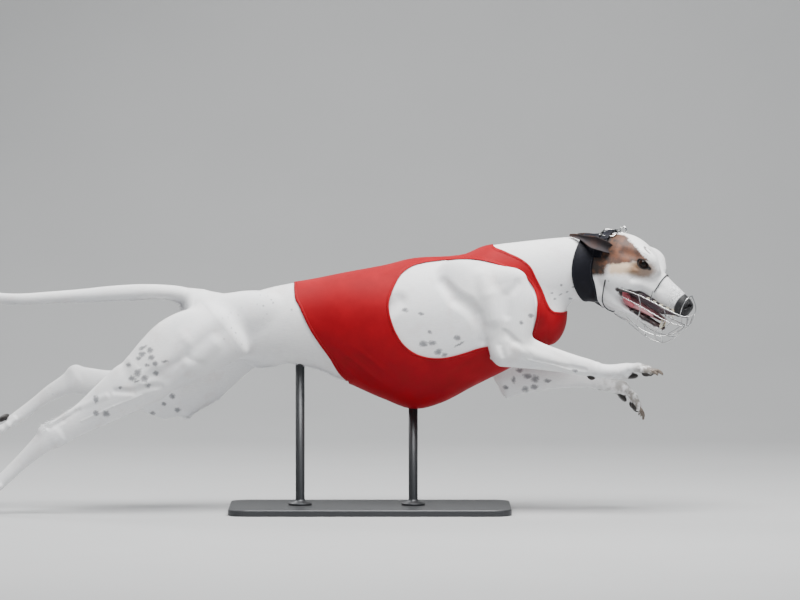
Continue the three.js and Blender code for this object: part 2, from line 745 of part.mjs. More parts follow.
for (const side of ['right', 'left']) {
  const hind = hindLegs[side];
  const thighRoom = fleshSolid(hind.thigh, [], 10, 6, 12, pieceGap);
  const shankRoom = fleshSolid(hind.shank, [], 10, 7, 9, pieceGap);
  const hockRoom = fleshSolid(hind.metatarsus, [hind.hockPoint], 8, 7, 9, pieceGap);
  addNode(`thigh_${side}`, clearOf(fleshSolid(hind.thigh, [], 10, 6, 12), bodyRoom, roomForJacket), 'coat');
  addNode(`shank_${side}`, clearOf(fleshSolid(hind.shank, [], 10, 7, 9), thighRoom, bodyRoom), 'coat');
  const metatarsus = fleshSolid(hind.metatarsus, [hind.hockPoint], 8, 7, 9);
  addNode(`metatarsus_${side}`, clearOf(metatarsus, shankRoom), 'coat');
  addNode(`hind_paw_${side}`, clearOf(toes(hind.paw), hockRoom), 'coat');
  const fore = foreLegs[side];
  const armRoom = fleshSolid(fore.upperArm, [], 10, 6, 11, pieceGap);
  const forearmRoom = fleshSolid(fore.forearm, [fore.carpalPad], 8, 7, 11, pieceGap);
  const metaRoom = fleshSolid(fore.metacarpus, [], 8, 3, 12, pieceGap);
  const upperArm = fleshSolid(fore.upperArm, [], 10, 6, 11);
  addNode(`upper_arm_${side}`, clearOf(upperArm, bodyRoom, roomForJacket), 'coat');
  const forearm = fleshSolid(fore.forearm, [fore.carpalPad], 8, 7, 11);
  addNode(`forearm_${side}`, clearOf(forearm, armRoom, bodyRoom, roomForJacket), 'coat');
  const forePaw = fleshSolid(fore.metacarpus, [], 8, 3, 9).add(toes(fore.paw));
  addNode(`fore_paw_${side}`, clearOf(forePaw, forearmRoom), 'coat');
}

// Nose leather: a rounded pad on the end of the muzzle with a comma-shaped nostril each side.
const noseMiddle = point(190, 0, 459);
const noseDirection = point(0.84, 0, -0.54);
const noseLength = 23;
const noseLump = lump(noseMiddle, noseDirection, noseLength, 17, 20);
const noseStops = lumpStops(noseMiddle, noseDirection, noseLength);
const noseSolid = turned(skinOver(ringsOn(noseLump.depth, noseStops, 14, 0)));
const nostrils = [-1, 1].map((side) => {
  const hole = new THREE.SphereGeometry(1, 8, 6);
  hole.scale(6, 4, 3.6);
  hole.rotateY(0.5);
  hole.translate(206, 9 * side, 455);
  return turned(hole);
});
const noseTip = joined([noseSolid, headSkin(0)]).intersect(nosePlane(noseStart + pieceGap, 60));
addNode('nose', clearOf(noseTip, ...nostrils, ...upperTeethRoom), 'nose');

// The muzzle's strap runs over the crown, behind the ears.
const strapLean = 0.3;
const strapEndsAt = 562;
const buckleWire = 1.9;
const crownStops = (overhang) => [-1, 0, 1].map((share) => ({
  centre: point(2 + share * (strapWidth / 2 + overhang), 0, 545),
  across: point(0, 1, 0),
  upward: point(strapLean, 0, 1).normalize(),
}));
const crownBand = (level, overhang) => turned(skinOver(ringsOn(headDepth, crownStops(overhang), 24, level)));
const strapRoom = crownBand(strapRise + strapThickness + pieceGap, pieceGap);

// An ear: a cupped leaf of skin, folded back along the neck.
function earSolid(side) {
  const middleLine = new THREE.CatmullRomCurve3([
    point(40, 34 * side, 576), point(27, 46 * side, 584), point(5, 51 * side, 592),
    point(-12, 46 * side, 598), point(-38, 37 * side, 606), point(-62, 28 * side, 609),
  ]);
  const halfWidths = new THREE.CatmullRomCurve3([
    point(0, 7, 0), point(0.2, 13, 0), point(0.4, 15, 0), point(0.6, 11, 0), point(0.8, 5.5, 0),
    point(1, 2.5, 0),
  ]);
  const rows = 8;
  const columns = 5;
  const thickness = 3;
  const rings = [];
  for (let row = 0; row <= rows; row += 1) {
    const t = row / rows;
    const centre = middleLine.getPoint(t);
    const along = middleLine.getTangent(t);
    const out = point(0, side, 0.35).addScaledVector(along, -point(0, side, 0.35).dot(along)).normalize();
    const upward = out.clone().cross(along).multiplyScalar(-side).normalize();
    const half = halfWidths.getPoint(t).y;
    const ring = [];
    for (const face of [0, 1]) {
      for (let column = 0; column <= columns; column += 1) {
        const across = face ? 1 - 2 * column / columns : 2 * column / columns - 1;
        const bend = across * 1.15;
        const radius = half + (face ? thickness / 2 : -thickness / 2);
        const offset = centre.clone().addScaledVector(upward, Math.sin(bend) * radius);
        offset.addScaledVector(out, (1 - Math.cos(bend)) * radius * 0.9 - (face ? thickness : 0));
        ring.push(offset);
      }
    }
    rings.push(side < 0 ? ring.reverse() : ring);
  }
  return turned(skinOver(rings));
}
for (const side of [-1, 1]) {
  let ear = earSolid(side);
  ear = clearOf(ear, headRoom, strapRoom);
  addNode(side < 0 ? 'ear_right' : 'ear_left', ear, 'patch');
}

// Everything worn lies over the body and the head together.
const headStraight = headTurn.clone().invert();
const wornOver = (p) => Math.min(bodyDepth(p), headDepth(p.clone().applyMatrix4(headStraight)));
const collarMiddle = point(489.5, -3, 530);
const collarAlong = point(Math.cos(0.42), -Math.sin(0.42), 0);
const bandRings = (overhang) => [-1, -0.4, 0.4, 1].map((share) => {
  const centre = collarMiddle.clone().addScaledVector(collarAlong, share * (collarWidth / 2 + overhang));
  const across = point(Math.sin(0.42), Math.cos(0.42), 0);
  return { centre, across, upward: point(0, 0, 1) };
});
const band = (level, overhang) => solidOf(
  skinOver(ringsOn(wornOver, bandRings(overhang), 24, level)),
);
const collar = clearOf(band(strapRise + collarThickness, 0), band(strapRise, 4));
addNode('collar', collar, 'leather');

// A wire that runs forward along one side, round the nose and back along the other.
const wireClearance = 5;
const bridgeRise = 2;
const throatRise = 2.4;
function besideFace([a, v, c]) {
  const widest = Math.min(v, 8);
  const face = headDepth(point(a, 0, c)) < 0
    ? surfaceDistance(headDepth, point(a, 0, c), point(0, 1, 0), 0)
    : widest;
  return [a, Math.max(v, face + wireClearance), c];
}
const roundNose = (side, front, radius) => {
  const clearSide = side.map(besideFace);
  return wire([
    ...clearSide.map(([a, v, c]) => point(a, -v, c)),
    point(...front),
    ...clearSide.slice().reverse().map(([a, v, c]) => point(a, v, c)),
  ], radius);
};
const upperRim = [[60, 43, 496], [100, 37, 480], [150, 29, 455], [190, 22, 436], [209, 12, 434]];
const upperRimFront = [217, 0, 436];
const rims = [
  roundNose(upperRim, upperRimFront),
  roundNose([[62, 43, 478], [104, 35, 455], [152, 29, 428], [188, 20, 414], [201, 11, 413]], [206, 0, 414]),
  roundNose([[70, 30, 432], [104, 27, 404], [142, 24, 391], [176, 17, 396]], [190, 0, 404]),
];
const keel = wire([[34, 0, 436], [62, 0, 420], [93, 0, 396], [120, 0, 381], [146, 0, 375], [172, 0, 386],
  [190, 0, 404], [206, 0, 414], [217, 0, 436], [219.5, 0, 455], [213, 0, 480]].map((p) => point(...p)));
const hoops = [0.1, 0.22, 0.35].map((share) => {
  const [upper, lower, low] = rims.map(({ path }) => path.getPointAt(share));
  const bottom = keel.path.getPointAt(0.12 + share * 1.25);
  const flip = (p) => point(p.x, -p.y, p.z);
  return wire([upper, lower, low, bottom, flip(low), flip(lower), flip(upper)]);
});
const noseLoop = wire([[190, -22, 436], [197, -24, 455], [207, -19, 473], [213, 0, 480],
  [207, 19, 473], [197, 24, 455], [190, 22, 436]].map((p) => point(...p)));
const basket = joined([...rims, keel, ...hoops, noseLoop].map(({ solid }) => solid));
addNode('muzzle_basket', basket, 'wire');
const bridgeMiddle = point(134, 0, 488);
const bridgeUp = point(0.5, 0, 0.87);
const bridgeSteps = 14;
const bridgePoints = Array.from({ length: bridgeSteps + 1 }, (_, i) => {
  const angle = THREE.MathUtils.degToRad(-4 + 188 * i / bridgeSteps);
  const ray = point(0, -Math.cos(angle), 0).addScaledVector(bridgeUp, Math.sin(angle)).normalize();
  return bridgeMiddle.clone().addScaledVector(ray, surfaceDistance(headDepth, bridgeMiddle, ray, bridgeRise));
});
const bridgeWire = wire(bridgePoints, 1.2, 1);
const rimRoom = roundNose(upperRim, upperRimFront, wireRadius + pieceGap).solid;
addNode('muzzle_nose_wire', clearOf(bridgeWire.solid, headRoom, rimRoom), 'cord');
const throatForms = blended([muzzleForm, ...headLumps, jawForm], headBlend);
const throatSide = [[29, 45, 513], [22, 45, 490], [19, 42, 466], [23, 28, 450]].map(([a, v, c]) => {
  const face = surfaceDistance(throatForms, point(a, 0, c), point(0, 1, 0), 0);
  return [a, Math.max(v, face + throatRise), c];
});
const throatCord = wire([
  ...throatSide.map(([a, v, c]) => point(a, -v, c)),
  point(31, 0, 438),
  ...throatSide.slice().reverse().map(([a, v, c]) => point(a, v, c)),
], 1.5);
addNode('muzzle_throat_cord', clearOf(throatCord.solid, headRoom), 'cord');

const belowStrap = new THREE.BoxGeometry(200, 200, 300);
belowStrap.translate(24, 0, strapEndsAt - 150);
const belowKeeper = new THREE.BoxGeometry(200, 200, 300);
belowKeeper.translate(24, 0, 606 - 150);
const keeper = clearOf(crownBand(strapRise + 2 * strapThickness, 0), turned(belowKeeper));
const strapBand = crownBand(strapRise + strapThickness, 0).add(keeper);
const collarRoom = band(strapRise + collarThickness + pieceGap, pieceGap);
const strap = clearOf(strapBand, crownBand(strapRise, 3), turned(belowStrap), collarRoom);
const keeperTop = strapRise + 2 * strapThickness + pieceGap;
const keeperRoom = clearOf(crownBand(keeperTop, pieceGap), turned(belowKeeper));
addNode('muzzle_strap', strap, 'leather');
const buckleFrame = closedWire([[6, -27, 609], [24, -28, 608], [42, -27, 605], [45, -12, 616], [47, 4, 622],
  [28, 5, 624], [10, 4, 625], [8, -12, 619]].map((p) => point(...p)), buckleWire);
const ringTurns = 8;
const buckleRing = closedWire(Array.from({ length: ringTurns }, (_, i) => {
  const angle = 2 * Math.PI * i / ringTurns;
  return point(52 + 7 * Math.cos(angle), 4, 621 + 7 * Math.sin(angle));
}), 1.3);
addNode('muzzle_buckle', clearOf(buckleFrame.add(buckleRing), strapRoom, keeperRoom, headRoom), 'wire');

// The stand: a flat plate and two rods.
const plate = new THREE.Shape();
const halfLength = base.length / 2 - base.corner;
const halfBreadth = base.breadth / 2 - base.corner;
plate.absarc(halfLength, halfBreadth, base.corner, 0, Math.PI / 2);
plate.absarc(-halfLength, halfBreadth, base.corner, Math.PI / 2, Math.PI);
plate.absarc(-halfLength, -halfBreadth, base.corner, Math.PI, 1.5 * Math.PI);
plate.absarc(halfLength, -halfBreadth, base.corner, 1.5 * Math.PI, 2 * Math.PI);
const plateGeometry = new THREE.ExtrudeGeometry(plate, {
  depth: base.thickness, bevelEnabled: false, curveSegments: 4,
});
addNode('stand_base', solidOf(plateGeometry), 'stand');
for (const [place, x] of [['front', rod.frontX], ['rear', rod.rearX]]) {
  const foot = base.thickness + pieceGap;
  const flangeTop = foot + rod.flangeHeight;
  const profile = [
    [0, foot], [rod.flangeRadius, foot], [rod.flangeRadius, foot + rod.flangeHeight * 0.5],
    [rod.radius + 3, flangeTop], [rod.radius, flangeTop + 4], [rod.radius, rod.reach], [0, rod.reach],
  ];
  const turnedRod = new THREE.LatheGeometry(profile.map(([r, z]) => new THREE.Vector2(r, z)), 16);
  turnedRod.rotateX(Math.PI / 2);
  turnedRod.translate(x, 0, 0);
  addNode(`stand_rod_${place}`, clearOf(solidOf(turnedRod), bodyRoom, roomForJacket), 'stand');
}

export default group;
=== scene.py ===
import json
import math

import bmesh
import bpy
import numpy as np
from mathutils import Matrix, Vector

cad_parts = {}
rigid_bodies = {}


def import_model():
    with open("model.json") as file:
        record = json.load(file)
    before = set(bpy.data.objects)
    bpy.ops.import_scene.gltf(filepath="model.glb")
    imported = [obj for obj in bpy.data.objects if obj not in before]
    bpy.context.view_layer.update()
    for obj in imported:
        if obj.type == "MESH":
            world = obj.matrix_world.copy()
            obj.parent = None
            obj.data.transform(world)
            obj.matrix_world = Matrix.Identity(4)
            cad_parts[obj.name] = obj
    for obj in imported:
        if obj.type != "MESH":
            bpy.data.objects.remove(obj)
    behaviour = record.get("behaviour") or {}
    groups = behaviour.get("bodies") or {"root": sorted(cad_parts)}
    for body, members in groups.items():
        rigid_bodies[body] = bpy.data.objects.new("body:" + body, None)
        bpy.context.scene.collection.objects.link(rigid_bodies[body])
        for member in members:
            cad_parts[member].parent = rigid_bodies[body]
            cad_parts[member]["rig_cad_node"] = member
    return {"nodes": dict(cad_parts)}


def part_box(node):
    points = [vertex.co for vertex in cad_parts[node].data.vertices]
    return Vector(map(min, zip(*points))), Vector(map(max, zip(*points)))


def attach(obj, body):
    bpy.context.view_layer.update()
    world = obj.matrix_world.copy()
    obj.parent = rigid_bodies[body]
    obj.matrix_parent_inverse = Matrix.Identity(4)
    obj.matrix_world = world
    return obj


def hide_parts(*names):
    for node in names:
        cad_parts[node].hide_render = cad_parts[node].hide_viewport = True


# %% [markdown]
# # A racing greyhound at full gallop
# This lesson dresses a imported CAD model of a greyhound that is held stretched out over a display
# stand. The CAD model holds the sizes. Blender adds one seamless skin, the short coat and its
# markings, the jacket, the collar and the wire muzzle. All lengths are in millimetres until a
# mesh is made, because that is how a breeder or a tailor would note them down.

# %% Load the frame
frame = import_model()
bpy.context.view_layer.update()
root_body = "root"
metres = 0.001

# %% [markdown]
# ## Flesh as a depth field
# A living body has no edges where one part ends and the next begins. Separate meshes joined by
# a boolean show a hard crease at the hip and the shoulder. So every length of flesh is written
# as a function that is negative inside and positive outside. Functions like these melt into
# each other with a soft minimum, and one skin is then drawn over the sum.

# %% Curves along a length of flesh
def section_at(stations, distance):
    """The smooth curve through the stations' columns, read at many distances along them."""
    last = len(stations) - 1
    i = np.clip(np.searchsorted(stations[:, 0], distance) - 1, 0, last - 1)
    before = stations[np.maximum(i - 1, 0)]
    start = stations[i]
    end = stations[i + 1]
    after = stations[np.minimum(i + 2, last)]
    span = end[:, :1] - start[:, :1]
    t = (distance[:, None] - start[:, :1]) / span
    slope_in = (end - before) / (end[:, :1] - before[:, :1])
    slope_out = (after - start) / (after[:, :1] - start[:, :1])
    section = start * (2 * t**3 - 3 * t**2 + 1) + slope_in * span * (t**3 - 2 * t**2 + t)
    section += end * (3 * t**2 - 2 * t**3) + slope_out * span * (t**3 - t**2)
    return section[:, 1:].T


def directions(along):
    """Directions along a form, across it and square to both."""
    along = np.array(along, float)
    along = along / np.linalg.norm(along)
    across = np.cross([0, 0, 1], along)
    across = across / np.linalg.norm(across)
    return along, across, np.cross(along, across)


# %% The forms that flesh is made of
class Form:
    """A closed form: how deep a point lies in it, its box, and how softly it joins the rest."""

    def __init__(self, depth, low, high, blend, carves=False):
        self.depth = depth
        self.low = np.array(low, float)
        self.high = np.array(high, float)
        self.blend = blend
        self.carves = carves


def length(start, end, caps, stations, blend=10, carves=False):
    """A length of flesh. A station holds its distance along the axis, the upper edge, the lower
    edge, half the breadth, and the height at which it is widest."""
    start = np.array(start, float)
    along, across, upward = directions(np.array(end, float) - start)
    stations = np.array(stations, float)

    def depth(points):
        reach = points - start
        distance = reach @ along
        held = np.clip(distance, stations[0, 0], stations[-1, 0])
        high, low, half, widest = section_at(stations, held)
        over = distance - held
        side = reach @ across
        rise = reach @ upward - widest
        half_height = np.where(rise > 0, high - widest, widest - low)
        cap = np.where(over > 0, caps[1], caps[0])
        shape = np.sqrt((side / half) ** 2 + (rise / half_height) ** 2 + (over / cap) ** 2)
        span = np.sqrt(side**2 + rise**2 + over**2)
        return span - span / np.maximum(shape, 0.01)

    corners = []
    for distance, high, low, half, _ in stations:
        for cap in (-caps[0], caps[1]):
            for edge in (high, low):
                for side in (half, -half):
                    corners.append(start + along * (distance + cap) + upward * edge + across * side)
    return Form(depth, np.min(corners, 0), np.max(corners, 0), blend, carves)


def lump(centre, direction, sizes, blend=10, carves=False):
    """An oval lump with its half sizes along, across and square to a direction."""
    centre = np.array(centre, float)
    axes = np.array(directions(direction))

    def depth(points):
        reach = points - centre
        local = (reach @ axes.T) / np.array(sizes, float)
        shape = np.sqrt((local**2).sum(1))
        span = np.sqrt((reach**2).sum(1))
        return span - span / np.maximum(shape, 0.01)

    reach = np.abs(axes.T) @ np.array(sizes, float)
    return Form(depth, centre - reach, centre + reach, blend, carves)


def cord_of_flesh(points, radii, blend=5, carves=False):
    """A bent form with a round section, such as a toe, a vein or a crease."""
    points = np.array(points, float)
    radii = np.array(radii, float)

    def depth(places):
        nearest = np.full(len(places), 1e3)
        for a, b, ra, rb in zip(points, points[1:], radii, radii[1:]):
            span = b - a
            t = np.clip((places - a) @ span / (span @ span), 0, 1)
            gap = np.linalg.norm(places - a - t[:, None] * span, axis=1) - (ra + (rb - ra) * t)
            nearest = smooth_least(nearest, gap, 3)
        return nearest

    reach = radii.max()
    return Form(depth, points.min(0) - reach, points.max(0) + reach, blend, carves)


def smooth_least(first, second, blend):
    """The lesser of two fields, rounded off where they are nearly equal."""
    overlap = np.maximum(blend - np.abs(first - second), 0) / blend
    return np.minimum(first, second) - overlap * overlap * blend / 4


def joined(total, value, form):
    """A field with one more form added to it, or carved out of it."""
    if form.carves:
        return -smooth_least(-total, value, form.blend)
    return smooth_least(total, value, form.blend)


# %% Outlines in the side view
def smooth_outline(corners, closed=True, each=5):
    """A smooth line through the corners, as many short steps."""
    corners = [np.array(p, float) for p in corners]
    count = len(corners)
    line = []
    for i in range(count if closed else count - 1):
        before = corners[(i - 1) % count] if closed or i else corners[0]
        start, end = corners[i], corners[(i + 1) % count]
        after = corners[(i + 2) % count] if closed or i + 2 < count else corners[-1]
        for t in np.arange(each) / each:
            line.append(0.5 * (2 * start + (end - before) * t
                               + (2 * before - 5 * start + 4 * end - after) * t**2
                               + (3 * start - before - 3 * end + after) * t**3))
    if not closed:
        line.append(corners[-1])
    return np.array(line)


def inside_outline(line, x, z):
    """How far inside a closed outline each place lies, in millimetres."""
    nearest = np.full(len(x), 1e9)
    within = np.zeros(len(x), bool)
    for (ax, az), (bx, bz) in zip(line, np.roll(line, -1, axis=0)):
        span = np.array((bx - ax, bz - az))
        t = np.clip(((x - ax) * span[0] + (z - az) * span[1]) / max(span @ span, 1e-9), 0, 1)
        nearest = np.minimum(nearest, np.hypot(x - ax - t * span[0], z - az - t * span[1]))
        if bz != az:
            within ^= ((az > z) != (bz > z)) & (x < ax + (z - az) * (bx - ax) / (bz - az))
    return np.where(within, nearest, -nearest)


def side_cut(outline, breadth, blend):
    """A form that cuts away everything inside a side outline, from one side to the other."""
    outline = np.array(outline, float)
    low, high = outline.min(0), outline.max(0)
    return Form(lambda p: -inside_outline(outline, p[:, 0], p[:, 2]),
                (low[0], -breadth, low[1]), (high[0], breadth, high[1]), blend, carves=True)


# %% Reading the field at points and on a grid
outside = 60.0
box_margin = 26.0


def depth_at(forms, points):
    """How deep each point lies in all the forms together."""
    total = np.full(len(points), outside)
    for form in forms:
        near = np.all((points > form.low - box_margin) & (points < form.high + box_margin), axis=1)
        if near.any():
            total[near] = joined(total[near], form.depth(points[near]), form)
    return total


def depth_on_grid(forms, low, counts, step):
    """The same on a grid, reading each form only inside its own box."""
    total = np.full(counts, outside, np.float32)
    for form in forms:
        first = np.maximum(np.floor((form.low - box_margin - low) / step).astype(int), 0)
        last = np.minimum(np.ceil((form.high + box_margin - low) / step).astype(int) + 1, counts)
        if np.any(last <= first):
            continue
        across, upward = [low[i] + step * np.arange(first[i], last[i]) for i in (1, 2)]
        slab = max(1, 400000 // (len(across) * len(upward)))
        for start in range(first[0], last[0], slab):
            end = min(start + slab, last[0])
            along = low[0] + step * np.arange(start, end)
            places = np.stack(np.meshgrid(along, across, upward, indexing="ij"), -1)
            value = form.depth(places.reshape(-1, 3)).reshape(places.shape[:3])
            part = total[start:end, first[1]:last[1], first[2]:last[2]]
            total[start:end, first[1]:last[1], first[2]:last[2]] = joined(part, value, form)
    return total


def outward_at(forms, points, reach=0.4):
    """The direction straight out of the flesh at each point, and the depth there."""
    slopes = [
        depth_at(forms, points + step) - depth_at(forms, points - step)
        for step in np.eye(3) * reach
    ]
    slopes = np.stack(slopes, 1) / (2 * reach)
    return slopes / np.maximum(np.linalg.norm(slopes, axis=1, keepdims=True), 1e-6), slopes


def settled(forms, points, level, rounds=2):
    """Points moved straight in or out until they lie at one level of the field."""
    for _ in range(rounds):
        outward, slopes = outward_at(forms, points)
        steepness = np.maximum(np.linalg.norm(slopes, axis=1), 0.35)
        step = (depth_at(forms, points) - level) / steepness
        points = points - outward * np.clip(step, -3, 3)[:, None]
    return points


# %% [markdown]
# ## Drawing a skin over the field
# A skin is drawn where the field changes sign. Each grid cell that the surface crosses gets one
# point, at the middle of its crossings, and each crossed grid edge joins four such points to a
# face. The faces are even squares, which bend and shade better than the slivers that cutting
# solids would leave. The points are then settled on the field, so the grid doesn't show.

# %% The skin as points and four-sided faces
def skin_over(forms, low, high, step, level=0.0):
    """Points and faces of the surface at one level of the forms' field."""
    low = np.floor(np.array(low, float) / step) * step
    counts = np.ceil((np.array(high, float) - low) / step).astype(int) + 1
    values = depth_on_grid(forms, low, counts, step) - level
    inside = values < 0
    corners = [np.array((i, j, k)) for i in (0, 1) for j in (0, 1) for k in (0, 1)]
    cells = counts - 1
    held = sum(
        inside[c[0]:cells[0] + c[0], c[1]:cells[1] + c[1], c[2]:cells[2] + c[2]].astype(np.int8)
        for c in corners
    )
    crossed = np.argwhere((held > 0) & (held < 8))
    middle = np.zeros((len(crossed), 3))
    crossings = np.zeros(len(crossed))
    for a in corners:
        for b in corners:
            if np.abs(b - a).sum() != 1 or (b - a).sum() < 0:
                continue
            from_value = values[tuple((crossed + a).T)]
            to_value = values[tuple((crossed + b).T)]
            hit = (from_value < 0) != (to_value < 0)
            share = from_value[hit] / (from_value[hit] - to_value[hit])
            middle[hit] += a + (b - a) * share[:, None]
            crossings[hit] += 1
    points = low + step * (crossed + middle / crossings[:, None])
    number = np.full(cells, -1, np.int32)
    number[tuple(crossed.T)] = np.arange(len(crossed))
    faces = []
    for axis in range(3):
        one, two = np.eye(3, dtype=int)[(axis + 1) % 3], np.eye(3, dtype=int)[(axis + 2) % 3]
        start = [slice(1, n) for n in cells]
        start[axis] = slice(0, cells[axis])
        end = list(start)
        end[axis] = slice(1, cells[axis] + 1)
        here, there = inside[tuple(start)], inside[tuple(end)]
        offset = np.array([s.start for s in start])
        for edges, turned in ((here & ~there, False), (~here & there, True)):
            at = np.argwhere(edges) + offset
            ring = [number[tuple((at - back).T)] for back in (one + two, two, one * 0, one)]
            ring = np.stack(ring[::-1] if turned else ring, 1)
            faces.append(ring)
    faces = np.concatenate(faces)
    return settled(forms, points, level), faces[(faces >= 0).all(1)]


def kept(points, faces, wanted):
    """The faces that are wanted, with the points that they use numbered afresh."""
    faces = faces[wanted]
    used = np.unique(faces)
    fresh = np.full(len(points), -1)
    fresh[used] = np.arange(len(used))
    return points[used], fresh[faces], used


def open_edge_points(faces):
    """The points on the open border of a set of faces."""
    edges = np.concatenate([np.stack([faces[:, i], faces[:, (i + 1) % 4]], 1) for i in range(4)])
    edges = np.sort(edges, 1)
    single, count = np.unique(edges, axis=0, return_counts=True)
    return np.unique(single[count == 1])


def trimmed(forms, points, faces, limit, level):
    """The part of a skin where limit is negative. Its border is drawn onto the limit's zero line."""
    points, faces, _ = kept(points, faces, limit(points[faces].mean(1)) < 0)
    border = open_edge_points(faces)
    places = points[border]
    reach = 0.3
    for _ in range(4):
        slopes = [limit(places + step) - limit(places - step) for step in np.eye(3) * reach]
        slopes = np.stack(slopes, 1) / (2 * reach)
        outward, _ = outward_at(forms, places)
        slopes -= outward * (slopes * outward).sum(1, keepdims=True)
        strength = np.maximum((slopes**2).sum(1), 0.05)
        places = places - slopes * np.clip(limit(places) / strength, -4, 4)[:, None]
        places = settled(forms, places, level, 1)
    points[border] = places
    return points, faces

# %% [markdown]
# ## Trunk and neck
# A greyhound's trunk is a deep keel of ribs that sweeps up to a narrow waist. Its outline comes
# from the side, so the stations list the top line and the under line along X, and the breadth
# follows from the breed. The shoulder blades, the points of the shoulder and the rump are lumps
# that melt into it.

# %% Trunk, neck and the muscles on them
body_blend = 22
sides = {"right": -1, "left": 1}
blade_direction = (135, 0, -110)
trunk = length((0, 0, 0), (1, 0, 0), (25, 42), [
    (-385, 486, 415, 44, 450), (-350, 485, 372, 58, 440), (-290, 478, 338, 56, 425),
    (-200, 498, 331, 54, 425), (-110, 514, 314, 62, 425), (-40, 528, 281, 77, 425),
    (30, 541, 250, 88, 425), (95, 556, 228, 92, 428), (160, 560, 243, 91, 435),
    (224, 562, 276, 84, 440), (275, 560, 302, 76, 440), (340, 545, 335, 64, 440),
    (390, 505, 368, 50, 435),
], body_blend)
neck = length((0, 0, 0), (1, 0, 0), (15, 15), [
    (205, 556, 440, 40, 510), (240, 579, 440, 50, 515), (270, 587, 435, 58, 515),
    (343, 596, 425, 58, 515), (400, 602, 437, 52, 522), (442, 605, 462, 46, 533),
    (480, 607, 468, 45, 540), (515, 606, 462, 45, 545),
], body_blend)
body_forms = [trunk, neck]
for side in sides.values():
    body_forms.append(lump((238, 54 * side, 486), blade_direction, (98, 30, 54), body_blend))
    body_forms.append(lump((335, 48 * side, 450), blade_direction, (44, 32, 40), body_blend))
    body_forms.append(lump((-290, 36 * side, 440), (-1, 0, -0.2), (92, 28, 42), body_blend))
body_forms.append(lump((-228, 0, 333), (1, 0, 0.1), (42, 11, 13), body_blend))
tail = length((0, 0, 0), (-1, 0, 0), (20, 8), [
    (372, 488, 442, 23, 466), (395, 492, 450, 21, 471), (420, 497, 462, 17, 480),
    (462, 500.5, 469, 15.5, 485), (510, 501, 467, 15, 484), (568, 497.5, 465, 14.5, 481),
    (640, 490, 462, 13, 476), (708, 484.5, 459, 11.5, 472), (768, 480.5, 457, 10.5, 469),
    (814, 482, 460, 9.5, 471), (870, 489, 473, 7, 481), (926, 499, 492, 3, 495.5),
], 14)
print("forms in the trunk and neck:", len(body_forms))

# %% [markdown]
# ## Legs
# Both hind legs trail behind, the far one more bent at the hock, while both forelegs reach
# forward. Each leg is a chain of lengths, from the big muscle at the top to the thin bone
# below. The soft joining is wide at the hip and the shoulder and narrow at the wrist.

